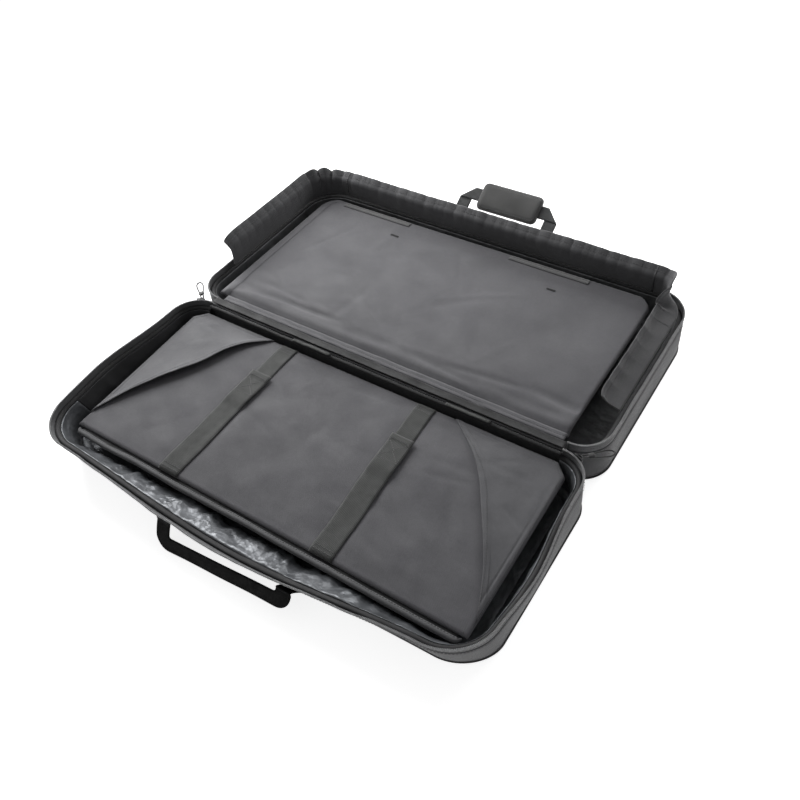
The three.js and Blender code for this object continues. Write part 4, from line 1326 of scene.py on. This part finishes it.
def make_flap(node, shape, threads):
    """A flap of the skirt, which rides on its own body."""
    body = node.replace("lid_", "")
    piece = make(node.replace("_flap", "_skirt"), shape, FLAP, body, [node])
    thread = make(node.replace("_flap", "_skirt_stitching"), threads, THREAD_DARK, body)
    if node == "lid_left_flap":
        for soft in (piece, thread):
            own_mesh(soft)
    return piece, thread


def make_gather(name, shape, threads, middle):
    """A corner gather, made on no body with its transform baked in; the points at the corner's middle and at
    the joint are picked out but not used.
    """
    piece = make(f"lid_{name}_gather", shape, FLAP)
    thread = make(f"lid_{name}_stitching", threads, THREAD_DARK)
    diagonal, joint = middle[0], middle[-1]
    if name in ("right_corner_front", "left_corner_back"):
        diagonal, joint = joint, diagonal
    for item in (piece, thread):
        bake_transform(item)
    return piece, thread


# ---------- Handles ----------


def handle_axes(name, side):
    """The pivot and the reach and normal directions of a handle's loop, from its joint and its solid."""
    pivot = in_mm(JOINTS[f"{name}_swing"]["pos_m"])
    low, high = box_mm(f"{name}_webbing")
    rise = (high[2] - pivot[2]) if high[2] - pivot[2] > pivot[2] - low[2] else -(pivot[2] - low[2])
    out = max(abs(high[1] - pivot[1]), abs(low[1] - pivot[1]))
    reach = np.array([0, side * out, rise])
    direction = reach / np.linalg.norm(reach)
    normal = np.array([0, -side * direction[2], abs(direction[1])])
    return np.array([(low[0] + high[0]) / 2, pivot[1], pivot[2]]), direction, normal


def bent_edge(half, reach, corner):
    """One edge of the front handle's loop in its own plane, from its left root to its right one."""
    turn = np.linspace(0, math.pi / 2, 12)
    leg = np.linspace(0, reach - corner, 8)[:-1]
    bar = np.linspace(-1, 1, 44)[1:-1] * (half - corner)
    side_u = np.concatenate([0 * leg + half, half - corner + corner * np.cos(turn)])
    side_v = np.concatenate([leg, reach - corner + corner * np.sin(turn)])
    u = np.concatenate([-side_u, bar, side_u[::-1]])
    v = np.concatenate([side_v, 0 * bar + reach, side_v[::-1]])
    return np.stack([u, v - FRONT_SLANT * u * np.clip(v / (reach - corner), 0, 1)], -1)


# The half it is on, half its length, its reach, the webbing's width, height on the wall, and material.
HANDLES = {
    "front_handle": (BASE, 120, 40, 25, 64, HANDLE),
    "back_handle": (LID, 100, 96, 25, 52, HANDLE_GREY),
}
FRONT_CORNER, FRONT_CUT = 24, 4         # radii of the front loop's corners, outside and inside
FRONT_SLANT = 0.09                      # the front handle hangs askew
HANDLE_LAYER = 1.4                      # thickness of the webbing
LAYER_SHIFT = 0.75                      # the back handle's bar lies over its legs
PATCH_HALF = 17                         # half the width of a sewn patch
PATCH_SPAN = {BASE: (22, 54), LID: (18, 48)}        # its foot and top on the wall
ROOT_REACH = {BASE: (2.5, 5), LID: (9, 18)}         # how far the root's ribbon follows the leg


def handle_strips(name, w):
    """The flat strips of a handle's loop: (u, v, height of the layer, the rows that are stitched)."""
    side, half, reach, width, _, _ = HANDLES[name]
    if side == BASE:
        across = (w / width)[None, :, None]
        strip = (bent_edge(half, reach, FRONT_CORNER)[:, None] * (1 - across)
                 + bent_edge(half - width, reach - width, FRONT_CUT)[:, None] * across)
        return [(strip[..., 0], strip[..., 1], 0, slice(None))]
    strips = []
    for sign in (-1, 1):
        v = np.linspace(0, 1, 26)[:, None] * (reach - width + w)[None]
        strips.append((sign * (-half + w)[None] + 0 * v, v, -LAYER_SHIFT, slice(None)))
    edge = half - w
    u = -edge[None] + np.linspace(0, 1, 60)[:, None] * 2 * edge[None]
    strips.append((u, reach - width + w[None] + 0 * u, LAYER_SHIFT, slice(2, -2)))
    return strips


def build_handle(name):
    """A webbing handle: its loop, stitching, roots and sewn patches."""
    side, half, reach, width, _, cloth = HANDLES[name]
    pivot, direction, normal = handle_axes(name, side)
    arch = 2.0 if side == LID else 1.2

    def at(u, v, w):
        bend = arch * np.sin(math.pi * np.clip(v / reach, 0, 1)) + 0.9 * noise(np.stack([u, v], -1), 55, 171)
        u, v, w = (a[..., None] for a in np.broadcast_arrays(u, v, w + bend))
        return pivot + np.array([1, 0, 0]) * u + direction * v + normal * w

    shapes, threads = [], []
    w = np.linspace(0, width, 11)
    thin = HANDLE_LAYER / 2 * (0.4 + 0.6 * rounded(np.minimum(w, width - w), 1.2))
    for u, v, level, rows in handle_strips(name, w):
        shapes.append(closed(at(u, v, level + thin[None] + 0 * v), at(u, v, level - thin[None] + 0 * v)))
        for k in (1, 9):
            crest = 0 * u[rows, k] + level + HANDLE_LAYER / 2 + 0.1
            threads.append(stitching(at(u[rows, k], v[rows, k], crest), normal))
    make(f"{name}_loop", joined(*shapes), cloth, name, [f"{name}_webbing"])
    thread = THREAD_DARK if side == LID else HANDLE
    make(f"{name}_loop_stitching", joined(*threads), thread, name)

    for sign, label in ((-1, "left"), (1, "right")):
        build_handle_root(name, label, pivot[0] + sign * (half - width / 2), pivot, direction)


def build_handle_root(name, label, x, pivot, direction):
    """The sewn patch on the wall, and the webbing that turns from it into the handle's leg."""
    side, _, _, width, height, cloth = HANDLES[name]
    body = "base" if side == BASE else "lid"
    foot, top = PATCH_SPAN[side]
    out = np.array([0, side, 0.0])
    zz, xx = np.meshgrid(np.linspace(foot, top, 12), x + np.linspace(-PATCH_HALF, PATCH_HALF, 13),
                         indexing="ij")
    edge = np.minimum(PATCH_HALF - np.abs(xx - x), np.minimum(zz - foot, top - zz))
    wall = place(side, xx, DEPTH + 1.4, zz)
    outer = wall + out * (0.5 + 1.0 * rounded(edge + 0.1, 1.4))[..., None]
    make(f"{name}_{label}_sewn_patch", closed(outer, wall), cloth, body,
         [f"{name}_{label}_patch"])
    box = [outer[1, 1:-1], outer[-2, 1:-1], outer[1:-1, 1], outer[1:-1, -2]]
    cross = [outer[1:-1][np.arange(10), np.linspace(a, b, 10).astype(int)] for a, b in ((1, 11), (11, 1))]
    make(f"{name}_{label}_patch_stitching", seams([line + out * 0.1 for line in box + cross], out),
         THREAD_DARK, body)
    sewn, bend = (place(side, x, DEPTH + 3.4, z) for z in (foot + 8, height - 14))
    centre = np.array([x, pivot[1], pivot[2]])
    turn = centre + np.array([0, side * -0.4, 3.0 if direction[2] < 0 else -2.0])
    near, end = ROOT_REACH[side]
    line = smooth_curve([sewn, bend, turn, centre + direction * near, centre + direction * end], 1.6)
    root = make(f"{name}_{label}_root", ribbon(line, (1, 0, 0), width - 0.6, HANDLE_LAYER), cloth)
    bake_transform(root)


GRIP_LENGTH, GRIP_DEPTH, GRIP_THICK, GRIP_CORNER = 122, 54, 15, 10
GRIP_SEAM = 5.5             # from the wrap's edge to its stitched border


def build_grip():
    """The padded wrap round the middle of the back handle."""
    pivot, direction, normal = handle_axes("back_handle", LID)
    _, _, loop_reach, width, _, _ = HANDLES["back_handle"]
    reach = loop_reach - width / 2
    length, depth, thick, corner = GRIP_LENGTH, GRIP_DEPTH, GRIP_THICK, GRIP_CORNER

    def crown(v):
        return 0.72 + 0.28 * np.cos(math.pi * v / (depth * 1.15))

    def at(u, v, w):
        u, v, w = (a[..., None] for a in np.broadcast_arrays(u, v, w))
        return pivot + np.array([1, 0, 0]) * u + direction * (reach + v) + normal * (w + 1.2)

    u = -length / 2 + spaced(length, 2.6)
    v = -depth / 2 + spaced(depth, 2.2, edge=8)
    u, v = np.meshgrid(u, v, indexing="ij")
    du, dv = length / 2 - np.abs(u), depth / 2 - np.abs(v)
    inset = np.where((du < corner) & (dv < corner),
                     corner - np.hypot(corner - du, corner - dv), np.minimum(du, dv))
    inset = np.clip(inset, 0, None)
    pull = np.where((du < corner) & (dv < corner), np.hypot(corner - du, corner - dv) / corner, 1)
    shrink = 1 / np.maximum(pull, 1)
    u = np.where(pull > 1, np.sign(u) * (length / 2 - corner + (corner - du) * shrink), u)
    v = np.where(pull > 1, np.sign(v) * (depth / 2 - corner + (corner - dv) * shrink), v)
    flat = np.stack([u, v], -1)
    swell = thick / 2 * rounded(inset, 7) * crown(v) + 0.35 * noise(flat, 24, 181) * smoothstep(inset, 2, 10)
    groove = 0.9 * np.exp(-(((inset - GRIP_SEAM) / 1.1) ** 2))
    up = np.maximum(swell - groove, 0.15)
    wrap = make("back_handle_wrap", closed(at(u, v, up), at(u, v, -up)), GRIP, "back_handle",
                ["back_handle_grip"])
    weld(wrap)

    a, b, r = length / 2 - GRIP_SEAM, depth / 2 - GRIP_SEAM, 5
    turn = np.radians(np.linspace(0, 90, 6))
    border = []
    for sx, sy, flip in ((1, 1, 1), (-1, 1, -1), (-1, -1, 1), (1, -1, -1)):
        arc = np.stack([sx * (a - r + r * np.cos(turn)), sy * (b - r + r * np.sin(turn))], -1)
        border.append(arc[::flip])
    border = np.concatenate([*border, border[0][:1]])
    level = thick / 2 * 0.86 * crown(border[:, 1])
    rows = [stitching(at(*border.T, face * level), normal * face) for face in (1, -1)]
    seam = at(np.linspace(-a + 2, a - 2, 60), np.array(-4.0), np.array(-thick / 2 + 0.1))
    rows.append(stitching(seam, -normal))
    make("back_handle_wrap_stitching", joined(*rows), THREAD_GREY, "back_handle")


# ---------- Zipper sliders and their pulls ----------


SLIDER_LONG, SLIDER_TALL = 15, 10
# One side of a loop pull from the slider to its far end: (away, aside, up).
PULL_SIDE = [(-1.9, 0.4, 0.0), (0.4, 2.0, 0.0), (11, 2.6, -0.3), (24, 4.4, -0.6), (36, 5.5, -0.8),
             (43, 3.6, -0.9)]
PULL_END, PULL_RADIUS = 45, 1.3
SLEEVE_START, SLEEVE_END = 8, 17


def build_slider(label):
    """A zipper slider on its curved run, and the cord loop that pulls it."""
    run = in_mm(JOINTS[f"{label}_slider_run"]["pos_m"])
    pivot = in_mm(JOINTS[f"{label}_pull_swing"]["pos_m"])
    radial = unit(np.array([*(pivot - run)[:2], 0]))
    tangent = np.array([-radial[1], radial[0], 0])
    up = np.array([0, 0, 1.0])
    low, high = box_mm(f"{label}_slider")
    middle_z = (low[2] + high[2]) / 2
    inner = run + radial * (NEAR_RADIUS + 0.8)
    inner[2] = middle_z

    def at(t, z, r):
        return inner + tangent * t[..., None] + up * z[..., None] + radial * r[..., None]

    half_long, half_tall = SLIDER_LONG / 2, SLIDER_TALL / 2
    t = -half_long + spaced(SLIDER_LONG, 1.1, edge=3)
    z = -half_tall + spaced(SLIDER_TALL, 1.0, edge=3)
    t, z = np.meshgrid(t, z, indexing="ij")
    waist = 1 - 0.18 * np.abs(t / half_long) ** 2
    z_in = z * waist
    edge = np.minimum(half_long - np.abs(t), (half_tall - np.abs(z)) * waist)
    back = at(t, z_in, 0.1 + 0.3 * (1 - rounded(edge, 1)))
    front = at(t, z_in, 1.6 + 0.9 * rounded(edge, 1.4))
    parts = [closed(front, back)]
    arch_t = np.linspace(-5.6, 5.6, 22)
    arch = at(arch_t, 0 * arch_t, 2.0 + 4.4 * np.sqrt(np.clip(1 - (arch_t / 5.8) ** 2, 0, 1)))
    parts.append(ribbon(arch, up, 3.4, 1.3, 7))
    for end in (-5.2, 5.2):
        a = np.linspace(0, 1, 5)
        stub = at(0 * a + end, 0 * a, 1.4 + 2.2 * a)
        parts.append(tube(stub, 1.7 * np.array([1, 1, 0.96, 0.8, 0.5]), 10))
    for z_rail in (-4.1, 4.1):
        rail_t = np.linspace(-6.2, 6.2, 12)
        parts.append(tube(at(rail_t, 0 * rail_t + z_rail * 0.86, 0 * rail_t + 2.3), 0.55, 6))
    make(f"{label}_slider_body", joined(*parts), METAL, f"{label}_slider",
         [f"{label}_slider"])

    axis = unit(np.array(JOINTS[f"{label}_pull_swing"]["axis"], float))
    away = np.array([axis[1], -axis[0], 0])
    side = np.array([-away[1], away[0], 0])

    def loop_at(a, b, c):
        return pivot + away * a + side * b + up * c

    there = [loop_at(a, -b, c) for a, b, c in PULL_SIDE]
    back = [loop_at(a, b, c) for a, b, c in reversed(PULL_SIDE)]
    ring = tube(smooth_curve([*there, loop_at(PULL_END, 0, -0.9), *back], 1.2), PULL_RADIUS, 10)
    a = np.linspace(SLEEVE_START, SLEEVE_END, 9)
    sleeve_line = pivot + away * a[:, None] + up * -0.35
    turn = np.linspace(0, 2 * math.pi, 16, endpoint=False)
    size = 0.55 + 0.45 * rounded(np.minimum(a - SLEEVE_START, SLEEVE_END - a), 2.5)
    rings = (sleeve_line[:, None] + side * (size[:, None] * 4.9 * np.cos(turn))[..., None]
             + up * (size[:, None] * 2.3 * np.sin(turn))[..., None])
    first, last = (np.repeat(sleeve_line[[k]][:, None], len(turn), 1) for k in (0, -1))
    caps = np.concatenate([first, rings, last])
    sleeve = (caps.reshape(-1, 3), grid_faces(*caps.shape[:2], wrap=True), np.zeros((caps[..., 0].size, 2)))
    pull = make(f"{label}_pull_cord", joined(ring, sleeve), CORD, f"{label}_pull",
                [f"{label}_pull_loop"])
    weld(pull)


# ---------- Putting the case together ----------

build_shell("base", BASE)
build_shell("lid", LID)
for foam in ("base_left_foam", "base_right_foam", "lid_left_foam", "lid_right_foam", "lid_back_foam"):
    build_foam(foam, foam.split("_")[0])
build_hinge()
build_base_divider()
build_pocket("left", -1)
build_pocket("right", 1)
build_strap("left")
build_strap("right")
build_lid_divider()
build_skirt()
build_handle("front_handle")
build_handle("back_handle")
build_grip()
build_slider("left")
build_slider("right")
for board in ("base_stiffener_board", "lid_stiffener_board"):
    frame["nodes"][board].data.materials.clear()
    frame["nodes"][board].data.materials.append(BOARD)

# ---------- Floor, light and camera ----------


FLOOR_REACH_M, FLOOR_GAP_M = 40.0, 0.0004


def build_floor():
    """A plain pale floor, just under the case."""
    mesh = bpy.data.meshes.new("studio_floor")
    corners = [(a * FLOOR_REACH_M, b * FLOOR_REACH_M, 0) for a, b in ((-1, -1), (1, -1), (1, 1), (-1, 1))]
    mesh.from_pydata(corners, [], [(0, 1, 2, 3)])
    floor = bpy.data.objects.new("studio_floor", mesh)
    floor.location.z = -FLOOR_GAP_M
    bpy.context.scene.collection.objects.link(floor)
    paint = bpy.data.materials.new("studio_floor_paint")
    paint.use_nodes = True
    shader = paint.node_tree.nodes["Principled BSDF"]
    shader.inputs["Base Color"].default_value = (0.86, 0.86, 0.86, 1)
    shader.inputs["Roughness"].default_value = 0.9
    shader.inputs["Emission Color"].default_value = (1, 1, 1, 1)
    shader.inputs["Emission Strength"].default_value = 0.8
    mesh.materials.append(paint)


def build_light(name, place_m, aim_m, size_m, power):
    """A soft white light, aimed at a point and hidden from the camera."""
    data = bpy.data.lights.new(name, "AREA")
    data.energy = power
    data.shape, data.size, data.size_y = "RECTANGLE", *size_m
    light = bpy.data.objects.new(name, data)
    light.location = place_m
    light.visible_camera = False
    light.rotation_euler = (Vector(aim_m) - Vector(place_m)).to_track_quat("-Z", "Y").to_euler()
    bpy.context.scene.collection.objects.link(light)


def build_studio():
    """The floor, a dim even world and two soft lights."""
    build_floor()
    world = bpy.context.scene.world or bpy.data.worlds.new("studio_air")
    bpy.context.scene.world = world
    world.use_nodes = True
    air = world.node_tree.nodes["Background"]
    air.inputs["Color"].default_value = (1.0, 1.0, 1.0, 1)
    air.inputs["Strength"].default_value = 0.26
    build_light("key_light", (-1.25, 0.55, 0.95), (-0.05, 0, 0.05), (1.1, 1.1), 37)
    build_light("back_light", (0.2, 1.7, 0.8), (0, 0.1, 0.05), (1.8, 0.5), 18)
    bpy.context.scene.view_settings.view_transform = "Standard"


VIEW_AZIMUTH, VIEW_ELEVATION, VIEW_ROLL = math.radians(37.67), math.radians(46.93), math.radians(-6.14)
VIEW_DISTANCE = 1216                    # to the point looked at
VIEW_AIM = (81.6, -42.4)                # that point on the rim plane, from the middle of the hinge
LENS, SENSOR = 36.7, 36.0


def build_camera():
    """The camera, at the photograph's angle."""
    back = np.array([math.sin(VIEW_AZIMUTH) * math.cos(VIEW_ELEVATION),
                     -math.cos(VIEW_AZIMUTH) * math.cos(VIEW_ELEVATION), math.sin(VIEW_ELEVATION)])
    right = unit(np.cross([0, 0, 1], back))
    up = np.cross(back, right)
    across = math.cos(VIEW_ROLL) * right + math.sin(VIEW_ROLL) * up
    above = -math.sin(VIEW_ROLL) * right + math.cos(VIEW_ROLL) * up
    place_mm = np.array([*VIEW_AIM, RIM]) + back * VIEW_DISTANCE
    data = bpy.data.cameras.new("studio_camera")
    data.lens, data.sensor_width = LENS, SENSOR
    camera = bpy.data.objects.new("studio_camera", data)
    turned = Matrix([across, above, back]).transposed().to_4x4()
    camera.matrix_world = Matrix.Translation(in_frame(*place_mm)) @ turned
    bpy.context.scene.collection.objects.link(camera)
    bpy.context.scene.camera = camera


build_studio()
build_camera()
